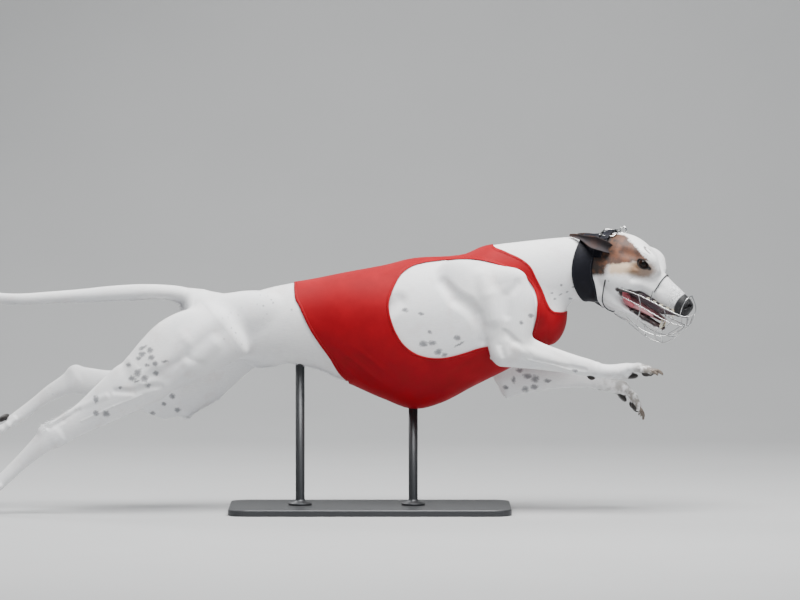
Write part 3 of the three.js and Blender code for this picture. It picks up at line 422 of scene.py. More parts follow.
# %% The four legs
leg_forms = {
    "hind_right": [
        length((-330, -56, 415), (-470, -72, 300), (30, 35), [
            (0, 52, -90, 38, -12), (50, 77, -79, 43, 0), (100, 87, -67, 43, 5),
            (150, 83, -53, 39, 10), (195, 74, -38, 33, 14)], 26),
        length((-470, -72, 285), (-695, -76, 180), (30, 20), [
            (0, 60, -34, 31, 8), (50, 72, -36, 33, 12), (90, 62, -36, 30, 10),
            (130, 48, -35, 25, 5), (170, 34, -34, 20, 0), (210, 24, -34, 17, -4),
            (245, 17, -36, 15, -8)], 16),
        length((-700, -76, 172), (-822, -76, 58), (12, 14), [
            (-15, 21, -33, 16, -5), (13, 23, -27, 17, -2), (45, 20, -20, 15, 0),
            (85, 17, -16, 13, 0), (130, 15, -15, 16, 0), (160, 13, -14, 20, 0)], 10),
        lump((-712, -76, 182), (-0.9, 0, 0.3), (14, 9, 11), 14),
    ],
    "hind_left": [
        length((-300, 56, 410), (-420, 74, 240), (30, 28), [
            (0, 75, -93, 38, -10), (50, 86, -91, 43, -5), (90, 84, -81, 43, 0),
            (130, 74, -73, 39, 0), (165, 62, -62, 35, 0), (195, 53, -47, 31, 2),
            (215, 46, -40, 29, 3)], 26),
        length((-450, 74, 240), (-665, 76, 287), (32, 20), [
            (0, 52, -42, 32, 4), (40, 60, -37, 33, 8), (90, 52, -33, 29, 8),
            (140, 38, -31, 23, 3), (185, 34, -29, 18, 0), (210, 32, -30, 16, 0)], 16),
        length((-672, 76, 285), (-798, 76, 198), (12, 14), [
            (-20, 17, -31, 16, -7), (13, 15, -28, 17, -6), (45, 15, -21, 15, -3),
            (85, 11, -17, 13, -3), (125, 9, -20, 16, -5), (150, 8, -19, 20, -5)], 10),
        lump((-655, 76, 303), (0.5, 0, 0.8), (14, 9, 11), 14),
    ],
    "fore_right": [
        length((270, -64, 500), (305, -74, 352), (40, 22), [
            (0, 78, -82, 22, -4), (45, 84, -67, 27, 0), (85, 75, -68, 29, 0),
            (120, 61, -48, 28, 5), (150, 47, -40, 26, 3)], 18),
        length((292, -76, 352), (494, -74, 317), (25, 10), [
            (0, 58, -29, 25, 5), (40, 50, -25, 24, 5), (80, 38, -22, 21, 5),
            (115, 31, -20, 17, 4), (150, 25, -19, 15, 3), (190, 20, -18, 15, 1),
            (205, 17, -17, 15, 0)], 14),
        lump((484, -76, 300), (0.8, 0, -0.3), (9, 6, 6), 4),
        length((500, -74, 315), (562, -74, 313), (10, 14), [
            (0, 16, -17, 15, 0), (25, 14, -17, 16, -1), (50, 17, -18, 21, 0),
            (62, 19, -18, 24, 0)], 8),
    ],
    "fore_left": [
        length((272, 64, 480), (302, 74, 290), (40, 24), [
            (0, 78, -80, 22, -4), (50, 84, -66, 27, 0), (100, 72, -56, 29, 0),
            (145, 58, -38, 28, 5), (185, 46, -30, 26, 5)], 18),
        length((305, 76, 281), (500, 74, 284), (22, 10), [
            (0, 50, -36, 25, 5), (40, 48, -26, 24, 8), (80, 38, -20, 21, 7),
            (115, 30, -17, 17, 5), (150, 24, -15, 15, 3), (185, 16, -15, 15, 0),
            (198, 13, -15, 15, 0)], 14),
        lump((508, 72, 270), (0.8, 0, -0.3), (9, 6, 6), 4),
        length((502, 74, 281), (560, 74, 266), (10, 14), [
            (0, 15, -15, 15, 0), (25, 16, -14, 16, 0), (50, 18, -16, 21, 0),
            (60, 18, -18, 24, 0)], 8),
    ],
}

# %% [markdown]
# ## Paws
# A greyhound has a hare foot: long arched toes, tight together, with strong claws. The two
# middle toes reach further than the outer ones. Every toe is a bent, rounded form with a
# leathery pad under its end, and the claws are pieces of their own.

# %% Toes, pads and the places of the claws
paws = {
    "hind_right": ((-822, -76, 58), (-884, -78, 27), (-0.35, 0, 0.75)),
    "hind_left": ((-798, 76, 195), (-852, 78, 162), (-0.4, 0, 0.75)),
    "fore_right": ((564, -74, 316), (622, -78, 316), (0.1, 0, -1)),
    "fore_left": ((562, 74, 264), (600, 76, 219), (-0.7, 0, -0.6)),
}
toe_places = (-1.5, -0.5, 0.5, 1.5)
pad_forms = []
claws = []
for leg, (knuckles, tip, sole) in paws.items():
    knuckles = np.array(knuckles, float)
    reach = np.array(tip, float) - knuckles
    forward, across, _ = directions(reach)
    down = np.array(sole, float)
    down = down - forward * (down @ forward)
    down = down / np.linalg.norm(down)
    for place in toe_places:
        span = np.linalg.norm(reach) * (1.0 if abs(place) < 1 else 0.86)

        def spot(share, drop, spread):
            return knuckles + forward * share * span + down * drop + across * place * spread

        path = [spot(-0.2, -1, 10), spot(0.12, -5, 13), spot(0.45, -6, 14.5),
                spot(0.8, 0, 15), spot(0.98, 4, 15)]
        leg_forms[leg].append(cord_of_flesh(path, [7, 8.6, 8.8, 8.4, 6], 5))
        pad = lump(spot(0.8, 8.5, 15.5), forward + down * 0.15, (9, 6.5, 5), 2.5)
        pad_forms.append(pad)
        leg_forms[leg].append(pad)
        claws.append([spot(0.9, 0, 15.3), spot(1.12, 1.5, 15.5), spot(1.26, 6, 15.5),
                      spot(1.33, 11, 15.5)])
    main_pad = lump(knuckles + down * 13 + reach * 0.15, forward, (15, 18, 7), 3)
    pad_forms.append(main_pad)
    leg_forms[leg].append(main_pad)
pad_forms += [leg_forms["fore_right"][2], leg_forms["fore_left"][2]]
print("forms in the legs:", sum(len(forms) for forms in leg_forms.values()), "claws:", len(claws))

# %% [markdown]
# ## Creases and hollows
# Seen from the side a lean dog is read by its hollows: behind the upper arm, along the hamstring,
# and between the heel cord and the shin. Each is a path drawn in the side view and laid onto the
# flesh, then carved out softly. Painting such a shadow would look false as soon as the light
# moves.

# %% Finding the flesh's side, then carving along it
def side_surface(forms, x, z, side, farthest=150.0):
    """How far out from the middle plane the flesh reaches at a place in the side view."""
    outward = np.arange(0, farthest, 0.5)
    points = np.stack([np.full(len(outward), x), outward * side, np.full(len(outward), z)], 1)
    solid = np.flatnonzero(depth_at(forms, points) < 0)
    return side * (outward[solid[-1]] if len(solid) else 0.0)


flesh_forms = body_forms + [tail] + [form for forms in leg_forms.values() for form in forms]


def crease(side, path, radii, lift, blend):
    """A hollow along a path of (x, z) places. Lift is how far its axis stands off the skin."""
    points = [(x, side_surface(flesh_forms, x, z, side) + side * lift, z) for x, z in path]
    return cord_of_flesh(points, radii, blend, carves=True)


def ridge(side, path, radii, sink, blend):
    """A muscle, tendon or vein that stands up a little along a path."""
    points = [(x, side_surface(flesh_forms, x, z, side) - side * sink, z) for x, z in path]
    return cord_of_flesh(points, radii, blend)


near, far = -1, 1
details = [
    crease(near, [(160, 508), (188, 474), (214, 458), (232, 438), (243, 412), (246, 380)],
           [9, 13, 13, 12, 10, 6], 5.5, 14),
    crease(near, [(243, 412), (250, 380), (262, 345)], [5, 5, 4], 2, 7),
    crease(near, [(-556, 272), (-515, 270), (-480, 281), (-455, 283)], [3, 4, 4, 2], 2, 9),
    crease(near, [(-640, 232), (-672, 210), (-700, 192)], [5, 6, 4], 3, 7),
    crease(near, [(-365, 330), (-400, 345), (-450, 320), (-490, 300)], [5, 7, 7, 4], 5, 14),
    crease(near, [(300, 395), (325, 372), (352, 352)], [4, 5, 3], 3, 10),
    crease(near, [(360, 340), (420, 326), (470, 317)], [3, 4.5, 3], 2, 6),
    crease(near, [(322, 505), (300, 480), (298, 440)], [6, 8, 6], 6, 14),
    crease(near, [(292, 400), (284, 372), (290, 350)], [4, 5, 3], 2.5, 9),
    crease(near, [(60, 470), (20, 440), (-10, 380)], [10, 12, 8], 9, 24),
    crease(far, [(-610, 285), (-640, 290), (-655, 292)], [5, 6, 4], 3, 7),
    crease(far, [(165, 503), (195, 470), (215, 430), (226, 390)], [9, 12, 12, 9], 7, 16),
    crease(far, [(-380, 300), (-430, 270), (-470, 262)], [5, 7, 4], 5, 14),
    ridge(near, [(-575, 260), (-640, 232), (-700, 197)], [5, 4, 4], 4, 8),
    ridge(near, [(-340, 425), (-400, 380), (-455, 330)], [18, 22, 16], 15, 20),
    ridge(near, [(-345, 375), (-400, 330), (-440, 290)], [14, 18, 14], 13, 18),
    ridge(near, [(245, 520), (262, 480), (275, 430)], [14, 18, 16], 14, 16),
    ridge(near, [(320, 365), (380, 345), (430, 328)], [10, 9, 5], 8, 10),
    ridge(near, [(345, 340), (400, 328), (455, 312)], [1.6, 1.5, 1.2], 0.6, 3),
    ridge(near, [(-500, 262), (-560, 238), (-630, 205)], [1.6, 1.6, 1.3], 0.5, 3),
    ridge(far, [(-320, 400), (-370, 330), (-410, 270)], [16, 20, 15], 14, 20),
    ridge(far, [(-570, 285), (-620, 300), (-655, 310)], [4, 4, 4], 3, 7),
    ridge(far, [(330, 285), (390, 285), (450, 283)], [9, 8, 5], 7, 10),
]
flesh_forms = flesh_forms + details
print("creases and ridges:", len(details))

# %% [markdown]
# ## The head
# The head is shaped as if it looked straight ahead and is then turned twenty degrees towards
# the viewer, as it is held in the photograph. Working in the head's own frame keeps both sides
# alike: a is forward from the crown, v is sideways and c is the height.

# %% The head's own frame
head_pivot = np.array((506.0, -4.0, 0.0))
head_yaw = math.radians(20)
head_turn = np.array((
    (math.cos(head_yaw), math.sin(head_yaw), 0.0),
    (-math.sin(head_yaw), math.cos(head_yaw), 0.0),
    (0.0, 0.0, 1.0),
))


def in_world(points):
    return np.array(points, float) @ head_turn.T + head_pivot


def in_head(points):
    return (np.array(points, float) - head_pivot) @ head_turn


def turned(form):
    """A form made in the head's frame, set where the head is held."""
    corners = [(x, y, z) for x in (form.low[0], form.high[0]) for y in (form.low[1], form.high[1])
               for z in (form.low[2], form.high[2])]
    corners = in_world(corners)
    return Form(lambda p: form.depth(in_head(p)), corners.min(0), corners.max(0),
                form.blend, form.carves)


# %% Skull, muzzle and cheeks
skull_blend = 14
skull = [
    length((80, 0, 535), (205, 0, 452), (40, 10), [
        (-30, 52, -50, 44, -5), (0, 51, -46, 43, -5), (30, 43, -38, 36, -8),
        (60, 32, -32, 29, -8), (85, 26, -32, 24, -8), (110, 23, -31, 21, -6),
        (135, 18, -27, 18, -4), (148, 14, -23, 15, -3)], skull_blend),
    lump((56, 0, 563), (0.95, 0, -0.3), (72, 46, 50), skull_blend),
    lump((10, 0, 555), (1, 0, 0), (50, 44, 52), skull_blend),
    lump((22, 0, 495), (0.8, 0, -0.4), (52, 40, 42), skull_blend),
]
for side in sides.values():
    skull += [
        lump((118, 27 * side, 563), (0.8, 0, -0.6), (24, 16, 15), skull_blend),
        lump((124, 26 * side, 541), (0.7, -0.2 * side, -0.6), (24, 13, 18), skull_blend),
        lump((55, 34 * side, 520), (0.85, -0.1 * side, -0.5), (50, 21, 34), skull_blend),
        cord_of_flesh([(48, 40 * side, 541), (78, 41 * side, 536), (100, 36 * side, 531)], [6, 6, 4], 9),
        cord_of_flesh([(92, 47 * side, 519), (122, 39 * side, 514), (150, 31 * side, 496)],
                      [8, 9, 6], 9, carves=True),
        cord_of_flesh([(70, 53 * side, 575), (92, 47 * side, 568)], [9, 7], 12, carves=True),
    ]

# %% [markdown]
# ## Mouth
# The mouth is open in a long wedge, so the lower jaw, the hollow between the jaws, the roof of
# the mouth and both lips are forms too. The hollow is carved before the lips and gums are laid
# on, and the lips follow the two lines that the side view shows.

# %% Jaw, hollow, lips and gums
upper_lip_line = [(56, 491), (80, 486), (102, 481), (125, 463), (154, 445), (180, 435), (198, 432)]
lower_lip_line = [(56, 489), (62, 474), (72, 460), (88, 445), (108, 431), (130, 418), (147, 409)]
jaw = length((10, 0, 478), (140, 0, 410), (15, 9), [
    (0, 34, -24, 38, 4), (32, 30, -17, 37, 2), (48, 16, -14, 34, 0), (66, 6, -11, 31, -1),
    (90, 5, -11, 25, -2), (117, 4, -11, 19, -3), (146, 1, -11, 14, -4)], 9)
mouth_hollow = cord_of_flesh(
    [(28, 0, 476), (58, 0, 474), (90, 0, 460), (125, 0, 443), (165, 0, 428), (205, 0, 418)],
    [9, 18, 19, 17, 14, 12], 4, carves=True)
palate = cord_of_flesh(
    [(60, 0, 476), (102, 0, 470), (128, 0, 452), (156, 0, 437), (186, 0, 427)],
    [18, 20, 18, 14, 9], 3, carves=True)
jaw_floor = cord_of_flesh([(60, 0, 466), (95, 0, 448), (134, 0, 424)], [15, 14, 9], 3, carves=True)
mouth_opening = side_cut(
    [(54, 491), (80, 486), (102, 481), (125, 463), (154, 445), (180, 434), (205, 429), (240, 420),
     (240, 380), (165, 400), (147, 408), (130, 418), (108, 431), (88, 445), (72, 460), (62, 474)],
    60, 3)
head_base = skull + [jaw]


def lip_roll(line, side, lift, radius, inset):
    """A lip laid along a line of (a, c) places, a little in from the cheek's surface."""
    points = []
    for a, c in line:
        reach = abs(side_surface(head_base, a, c + lift * 2.5, side))
        points.append((a, side * max(reach - inset, 3), c + lift))
    return cord_of_flesh(points, [radius] * len(points), 4)


lips = []
gums = []
webs = []
for side in sides.values():
    lips.append(lip_roll(upper_lip_line, side, 1.6, 4.2, 4.6))
    lips.append(lip_roll(lower_lip_line, side, -2.6, 2.8, 3.4))
    gums.append(cord_of_flesh([(78, 20 * side, 484), (100, 18 * side, 476), (124, 15.5 * side, 460),
                               (148, 13 * side, 446), (172, 11 * side, 440), (190, 6 * side, 437)],
                              [6, 10, 10, 8, 5, 3.6], 4))
    webs.append(cord_of_flesh([(62, 27 * side, 489), (69, 25 * side, 475), (80, 22 * side, 457)],
                              [6, 8, 6], 4))
    gums.append(cord_of_flesh([(78, 21 * side, 444), (104, 16.5 * side, 429), (128, 11 * side, 416),
                               (141, 8 * side, 410), (146, 0, 408)], [3.6, 3.5, 3.3, 3.2, 3], 3))

# %% [markdown]
# ## Eyes and nose
# The eye is a glass ball set deep behind the lids. The lids are a slightly larger ball that
# melts into the brow, with an almond slit carved through it, so the eye is seen between two
# real edges. The nose leather stands proud of the muzzle and has comma-shaped nostrils.

# %% Lids, nose leather and nostrils
eye_radius = 11.5
eye_places = {name: (110, 34 * side, 549.5) for name, side in sides.items()}
eye_slant = (0.82, 0, -0.57)
nose_leather = lump((190, 0, 459), (0.84, 0, -0.54), (22.5, 17, 20), 3)
nose_reach = lump((192, 0, 457), (0.84, 0, -0.54), (24, 21, 24), 3)
lids = []
nose_details = []
for name, side in sides.items():
    place = np.array(eye_places[name], float)
    lids += [
        lump(place, (1, 0, 0), (13.5, 13.5, 13.5), 7),
        lump(place + (1.5, 9.5 * side, -1.5), eye_slant, (13.4, 14, 7.8), 1.2, carves=True),
        cord_of_flesh([place + (9, 8 * side, -6.5), place + (16, 5 * side, -11.5)], [2.8, 1.2], 2,
                      carves=True),
        cord_of_flesh([place + (-13, 12 * side, 12), place + (0, 14.5 * side, 12.5),
                       place + (11, 11 * side, 6)], [1.6, 2, 1.4], 3, carves=True),
    ]
    nose_details += [
        lump((208, 7.5 * side, 457), (0.9, 0.35 * side, -0.3), (8, 3.4, 3.8), 1.6, carves=True),
        cord_of_flesh([(206, 10.5 * side, 456), (201, 15 * side, 452), (194, 18.5 * side, 452)],
                      [2.2, 1.6, 0.8], 1.5, carves=True),
    ]
nose_details.append(cord_of_flesh([(213, 0, 452), (210, 0, 440), (202, 0, 432)], [1.7, 1.6, 1.2], 2,
                                  carves=True))
head_local = head_base + [mouth_opening, mouth_hollow, palate, jaw_floor] + webs + lips + gums + lids
head_local.append(nose_leather)
head_local += nose_details
head_forms = [turned(form) for form in head_local]
all_forms = flesh_forms + head_forms
print("forms in the head:", len(head_forms))

# %% [markdown]
# ## One skin in several pieces
# A single mesh at the fineness that the face needs would be too heavy, so the trunk gets a
# coarser grid than the head and the paws. All pieces come from the same field. They end on the
# same planes and take their normals from the field, so no joint shows. The joint at the neck
# also lies under the collar.

# %% Where the finer pieces begin
collar_middle = np.array((489.5, -3.0, 530.0))
collar_turn = 0.42
collar_along = np.array((math.cos(collar_turn), -math.sin(collar_turn), 0.0))
head_starts = (collar_middle, collar_along, (400, -120, 380), (760, 120, 700))
fine_parts = {
    "head": head_starts,
    "fore_paw_right": (np.array((462.0, -74, 320)), np.array((1.0, 0, 0)),
                       (440, -130, 250), (690, -30, 380)),
    "fore_paw_left": (np.array((474.0, 74, 284)), np.array((1.0, 0, 0)),
                      (440, 30, 180), (660, 130, 330)),
    "hind_paw_right": (np.array((-752.0, -76, 124)), np.array((-0.73, 0, -0.68)),
                       (-920, -130, 0), (-730, -25, 150)),
    "hind_paw_left": (np.array((-726.0, 76, 248)), np.array((-0.82, 0, -0.57)),
                      (-890, 25, 130), (-690, 130, 290)),
}


def beyond(part, points):
    """How far points lie beyond the plane on which a fine part begins."""
    place, along, low, high = fine_parts[part]
    inside_box = np.all((points > np.array(low)) & (points < np.array(high)), axis=1)
    return np.where(inside_box, (points - place) @ along, -500.0)


def body_limit(points):
    return np.max([beyond(part, points) for part in fine_parts], axis=0)


# %% Making a mesh from points and faces
def piece_from(name, points, faces, material=None, normals=None):
    """A smooth mesh object whose place is in its mesh, in metres."""
    mesh = bpy.data.meshes.new(name)
    mesh.from_pydata((np.array(points) * metres).tolist(), [], np.array(faces).tolist())
    mesh.shade_smooth()
    if normals is not None:
        mesh.normals_split_custom_set_from_vertices(normals.tolist())
    made = bpy.data.objects.new(name, mesh)
    bpy.context.scene.collection.objects.link(made)
    if material:
        mesh.materials.append(material)
    return made


def painted(piece, name, values):
    """Keeps a number for every point, which a material can read as an attribute."""
    piece.data.attributes.new(name, "FLOAT", "POINT").data.foreach_set("value", values.astype(float))


def near_forms(forms, points, start, end):
    """One close to the forms and nothing farther off than end, in millimetres."""
    solid = [Form(form.depth, form.low, form.high, 0.5) for form in forms]
    share = np.clip((end - depth_at(solid, points)) / (end - start), 0, 1)
    return share * share * (3 - 2 * share)


# %% Growing the skin
skin_level = -0.4
body_step, fine_step = ((2.6, 1.25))
skin_pieces = {}
points, faces = skin_over(all_forms, (-948, -135, 0), (520, 135, 625), body_step, skin_level)
points, faces = trimmed(all_forms, points, faces, body_limit, skin_level)
middle_x = points[faces].mean(1)[:, 0]
for name, start, end in (("skin_hindquarters", -2000, -60), ("skin_forequarters", -60, 2000)):
    some_points, some_faces, _ = kept(points, faces, (middle_x >= start) & (middle_x < end))
    skin_pieces[name] = (some_points, some_faces)
for part, (_, _, low, high) in fine_parts.items():
    step = fine_step
    points, faces = skin_over(all_forms, low, high, step, skin_level)
    inner = np.all((points[faces].mean(1) > np.array(low) + 3), axis=1)
    points, faces, _ = kept(points, faces, inner)
    skin_pieces["skin_" + part] = trimmed(
        all_forms, points, faces, lambda p, part=part: -beyond(part, p), skin_level)
mouth_forms = [turned(Form(f.depth, f.low, f.high, 1)) for f in (mouth_hollow, palate, jaw_floor, *webs)]
lip_forms = [turned(form) for form in lips]
gum_forms = [turned(form) for form in gums]
nose_forms = [turned(nose_reach)]
lid_forms = [turned(lids[i]) for i in (1, 2, 5, 6)]
skins = []
for name, (points, faces) in skin_pieces.items():
    normals, _ = outward_at(all_forms, points)
    piece = piece_from(name, points, faces, None, normals)
    painted(piece, "pads", near_forms(pad_forms, points, 0.6, 2.2))
    upper_arms = [leg_forms["fore_right"][0], leg_forms["fore_left"][0]]
    painted(piece, "arm", near_forms(upper_arms, points, 0, 25))
    painted(piece, "thigh", near_forms(
        [leg_forms["hind_right"][0], leg_forms["hind_right"][1], leg_forms["hind_left"][0]], points, 0, 25))
    if name == "skin_head":
        painted(piece, "lips", near_forms(lip_forms, points, 1.2, 4.0))
        painted(piece, "mouth", near_forms(mouth_forms, points, 1.0, 3.0))
        painted(piece, "gums", near_forms(gum_forms, points, 0.8, 2.4))
        painted(piece, "leather", near_forms(nose_forms, points, 0.8, 2.6))
        painted(piece, "lids", near_forms(lid_forms, points, 1.4, 4.0))
    skins.append(piece)
    print(name, "points", len(points), "faces", len(faces))

# %% [markdown]
# ## Writing materials as sums
# A material is a chain of small nodes. Written out one by one it can't be read, so this class
# lets a value in the chain be added, multiplied or compared like a number. One method makes
# every other kind of node.

# %% The shade language
class Shade:
    """One value in a material, on which plain sums can be written."""

    def __init__(self, tree, socket=None):
        self.tree = tree
        self.socket = socket

    def node(self, kind, settings=None, inputs=None, output=0):
        """Makes a node, with its settings, its inputs as numbers or links, and returns an output."""
        made = self.tree.nodes.new(kind)
        for name, value in (settings or {}).items():
            if name == "stops":
                while len(made.color_ramp.elements) < len(value):
                    made.color_ramp.elements.new(0.5)
                for stop, (place, colour) in zip(made.color_ramp.elements, value):
                    stop.position = place
                    stop.color = (*colour, 1)
            else:
                setattr(made, name, value)
        for name, value in (inputs or {}).items():
            if isinstance(value, Shade):
                self.tree.links.new(value.socket, made.inputs[name])
            else:
                made.inputs[name].default_value = value
        return Shade(self.tree, made.outputs[output])

    def sum(self, operation, *values):
        return self.node("ShaderNodeMath", {"operation": operation}, dict(enumerate(values)))

    def __add__(self, other):
        return self.sum("ADD", self, other)

    __radd__ = __add__

    def __sub__(self, other):
        return self.sum("SUBTRACT", self, other)

    def __rsub__(self, other):
        return self.sum("SUBTRACT", other, self)

    def __mul__(self, other):
        return self.sum("MULTIPLY", self, other)

    __rmul__ = __mul__

    def __truediv__(self, other):
        return self.sum("DIVIDE", self, other)

    def rise(self, start, end):
        """Goes smoothly from 0 at start to 1 at end, or the other way round if start is larger."""
        low, high, first, last = (start, end, 0.0, 1.0) if start < end else (end, start, 1.0, 0.0)
        return self.node("ShaderNodeMapRange", {"interpolation_type": "SMOOTHSTEP"}, {
            "Value": self, "From Min": low, "From Max": high, "To Min": first, "To Max": last})

    def noise(self, where, scale, detail=3.0, roughness=0.5, output=0):
        return self.node("ShaderNodeTexNoise", {}, {
            "Vector": where, "Scale": scale, "Detail": detail, "Roughness": roughness}, output)

    def placed(self, where, place=(0, 0, 0), turn=(0, 0, 0), scale=(1, 1, 1)):
        return self.node("ShaderNodeMapping", {"vector_type": "POINT"}, {
            "Vector": where, "Location": place, "Rotation": turn, "Scale": scale})

    def parts(self, where):
        made = self.node("ShaderNodeSeparateXYZ", {}, {"Vector": where}).socket.node
        return [Shade(self.tree, made.outputs[i]) for i in range(3)]

    def attribute(self, name):
        return self.node("ShaderNodeAttribute", {"attribute_name": name}, {}, "Fac")

    def mix(self, share, first, second):
        """A colour between two colours."""
        def full(colour):
            return colour if isinstance(colour, Shade) else (*colour, 1)
        return self.node("ShaderNodeMix", {"data_type": "RGBA"}, {
            0: share, 6: full(first), 7: full(second)}, 2)

    def bump(self, height, distance, strength=1.0, below=None):
        inputs = {"Height": height, "Distance": distance, "Strength": strength}
        if below:
            inputs["Normal"] = below
        return self.node("ShaderNodeBump", {}, inputs)


def material(name, paint):
    """A new material. Paint returns the shader's sockets by name, as numbers or values."""
    made = bpy.data.materials.new(name)
    made.use_nodes = True
    shader = made.node_tree.nodes["Principled BSDF"]
    shade = Shade(made.node_tree)
    where = shade.node("ShaderNodeTexCoord", {}, {}, "Object")
    for socket, value in paint(shade, where).items():
        if isinstance(value, Shade):
            made.node_tree.links.new(value.socket, shader.inputs[socket])
        else:
            shader.inputs[socket].default_value = (*value, 1) if isinstance(value, tuple) else value
    return made


# %% [markdown]
# ## The coat's paint
# The coat is white, with grey ticking on the thighs, the ribs and the forearms, and a brown
# patch that runs from the ear to the eye. Marks on a real coat are soft-edged because single
# dark hairs mix with white ones, so each mark's edge is broken up with fine noise. Its fine
# grain is a noise stretched along the lie of the hair.

# %% Where the marks lie, as (x, z, half length, half height, slant) in the side view
near_marks = [
    (-480, 361, 6, 6, 0), (-497, 352, 7, 5, 25), (-504, 343, 5, 4, 20), (-477, 345, 7, 5, 10),
    (-495, 366, 9, 3, 35), (-526, 328, 5, 4, 30), (-486, 328, 5, 3.5, 0), (-468, 332, 6, 5, 0),
    (-447, 337, 7, 3, 0), (-506, 312, 9, 6, 50), (-466, 310, 6, 5, 0), (-519, 299, 7, 5, 0),
    (-491, 299, 8, 6, 20), (-508, 293, 6, 2.5, 15), (-598, 253, 5, 8, 0), (-598, 223, 6, 5, 0),
    (-576, 222, 7, 6, 0), (-484, 284, 6, 5, 0), (-545, 279, 5, 3, 0),
    (150, 356, 8, 5, 30), (163, 350, 6, 4, 20), (117, 374, 8, 6, 0), (136, 376, 7, 5, 0),
    (191, 387, 7, 5, 0), (77, 448, 7, 4, 0), (112, 440, 5, 3, 0), (131, 400, 4, 3, 0),
    (196, 373, 11, 2, 30), (449, 315, 6, 3, -15), (330, 421, 4, 4, 0), (352, 436, 6, 4, 0),
    (405, 470, 3, 2, 20), (418, 480, 4, 2, 10), (432, 486, 3, 2, 0), (420, 500, 3, 2, 0),
    (440, 470, 4, 3, 0), (398, 484, 3, 2, 0), (446, 496, 3, 2, 0),
]
far_marks = [
    (-436, 251, 6, 5, 0), (-425, 220, 6, 5, 0), (-482, 213, 6, 4, 0), (-455, 234, 5, 4, 0),
    (317, 288, 4, 7, 0), (330, 308, 7, 4, 0), (348, 295, 8, 5, 0), (365, 289, 8, 7, 0),
    (343, 266, 7, 6, 0), (363, 271, 7, 5, 0), (392, 285, 7, 4, 0), (300, 270, 5, 4, 0),
    (-340, 380, 7, 5, 0), (-372, 342, 6, 5, 20), (-351, 318, 7, 5, 0), (100, 400, 8, 6, 20),
    (140, 380, 6, 5, 0), (160, 430, 7, 5, 0), (30, 470, 6, 5, 0),
]


def marks_mask(shade, along, across, marks, ragged):
    """One inside any of the marks, whose edges are ragged."""
    nearest = None
    for x, z, half_long, half_high, slant in marks:
        turn = math.radians(slant)
        one, two = along - x, across - z
        first = (one * math.cos(turn) + two * math.sin(turn)) / half_long
        second = (two * math.cos(turn) - one * math.sin(turn)) / half_high
        reach = first * first + second * second
        nearest = reach if nearest is None else shade.sum("MINIMUM", nearest, reach)
    return (nearest + ragged * 5.5).rise(2.3, -0.1)


def paint_coat(shade, where):
    x, y, z = shade.parts(shade.placed(where, scale=(1000, 1000, 1000)))
    ragged = shade.noise(where, 360, 4, 0.75) - 0.5
    warp = shade.noise(where, 110, 2, 0.5) - 0.5
    stubble = shade.noise(where, 1400, 2, 0.5)
    broad = shade.noise(where, 9, 3, 0.5)
    hair_flat = shade.noise(shade.placed(where, turn=(0, 0.05, 0), scale=(60, 620, 620)), 1.0, 3, 0.6)
    hair_thigh = shade.noise(shade.placed(where, turn=(0, -0.66, 0), scale=(60, 620, 620)), 1.0, 3, 0.6)
    hair_arm = shade.noise(shade.placed(where, scale=(620, 620, 60)), 1.0, 3, 0.6)
    thigh, arm = shade.attribute("thigh"), shade.attribute("arm")
    hair = hair_flat + (hair_thigh - hair_flat) * thigh
    hair = hair + (hair_arm - hair) * arm
    white = shade.mix(broad.rise(0.35, 0.7), (0.84, 0.845, 0.86), (0.88, 0.875, 0.87))
    white = shade.mix(hair.rise(0.3, 0.62) * 0.3, white, (0.64, 0.65, 0.68))
    thin = shade.noise(where, 21, 4, 0.6).rise(0.5, 0.75) * 0.3
    white = shade.mix(thin, white, (0.62, 0.52, 0.5))
    white = shade.mix(stubble.rise(0.52, 0.75) * 0.3, white, (0.5, 0.5, 0.53))
    side_near = y.rise(8, -8)
    near_mask = marks_mask(shade, x + warp * 9, z - warp * 7, near_marks, ragged) * side_near
    far_mask = marks_mask(shade, x + warp * 9, z - warp * 7, far_marks, ragged) * (1 - side_near)
    specks = shade.node("ShaderNodeTexVoronoi", {"distance": "EUCLIDEAN"}, {
        "Vector": where, "Scale": 62.0, "Randomness": 1.0}, "Distance")
    speck_place = shade.noise(where, 7, 1, 0.5).rise(0.6, 0.72)
    speck_mask = (specks + ragged * 0.25).rise(0.2, 0.1) * speck_place * 0.55
    marks = shade.sum("MAXIMUM", shade.sum("MAXIMUM", near_mask, far_mask) * 0.95, speck_mask)
    base = shade.mix(marks * (0.82 + ragged * 0.9), white, (0.055, 0.058, 0.074))
    dirt = x.rise(470, 600) * z.rise(320, 285) * shade.noise(where, 60, 4, 0.6).rise(0.35, 0.6)
    soil = shade.noise(where, 75, 4, 0.6).rise(0.3, 0.55)
    toes = x.rise(560, 600) * z.rise(342, 322) * side_near * soil
    base = shade.mix(shade.sum("MAXIMUM", dirt, toes) * 0.8, base, (0.07, 0.048, 0.022))
    pads = shade.attribute("pads")
    base = shade.mix(pads, base, (0.018, 0.015, 0.014))
    roughness = 0.62 + ragged * 0.25 - pads * 0.1
    height = hair * 0.5 + ragged * 0.3
    return shade, x, y, z, base, roughness, height, hair, ragged, pads


def body_coat(shade, where):
    shade, x, y, z, base, roughness, height, hair, ragged, pads = paint_coat(shade, where)
    return {"Base Color": base, "Roughness": roughness, "Sheen Weight": 0.18, "Sheen Roughness": 0.5,
            "Specular IOR Level": 0.3, "Normal": shade.bump(height, 0.0009, 0.5)}


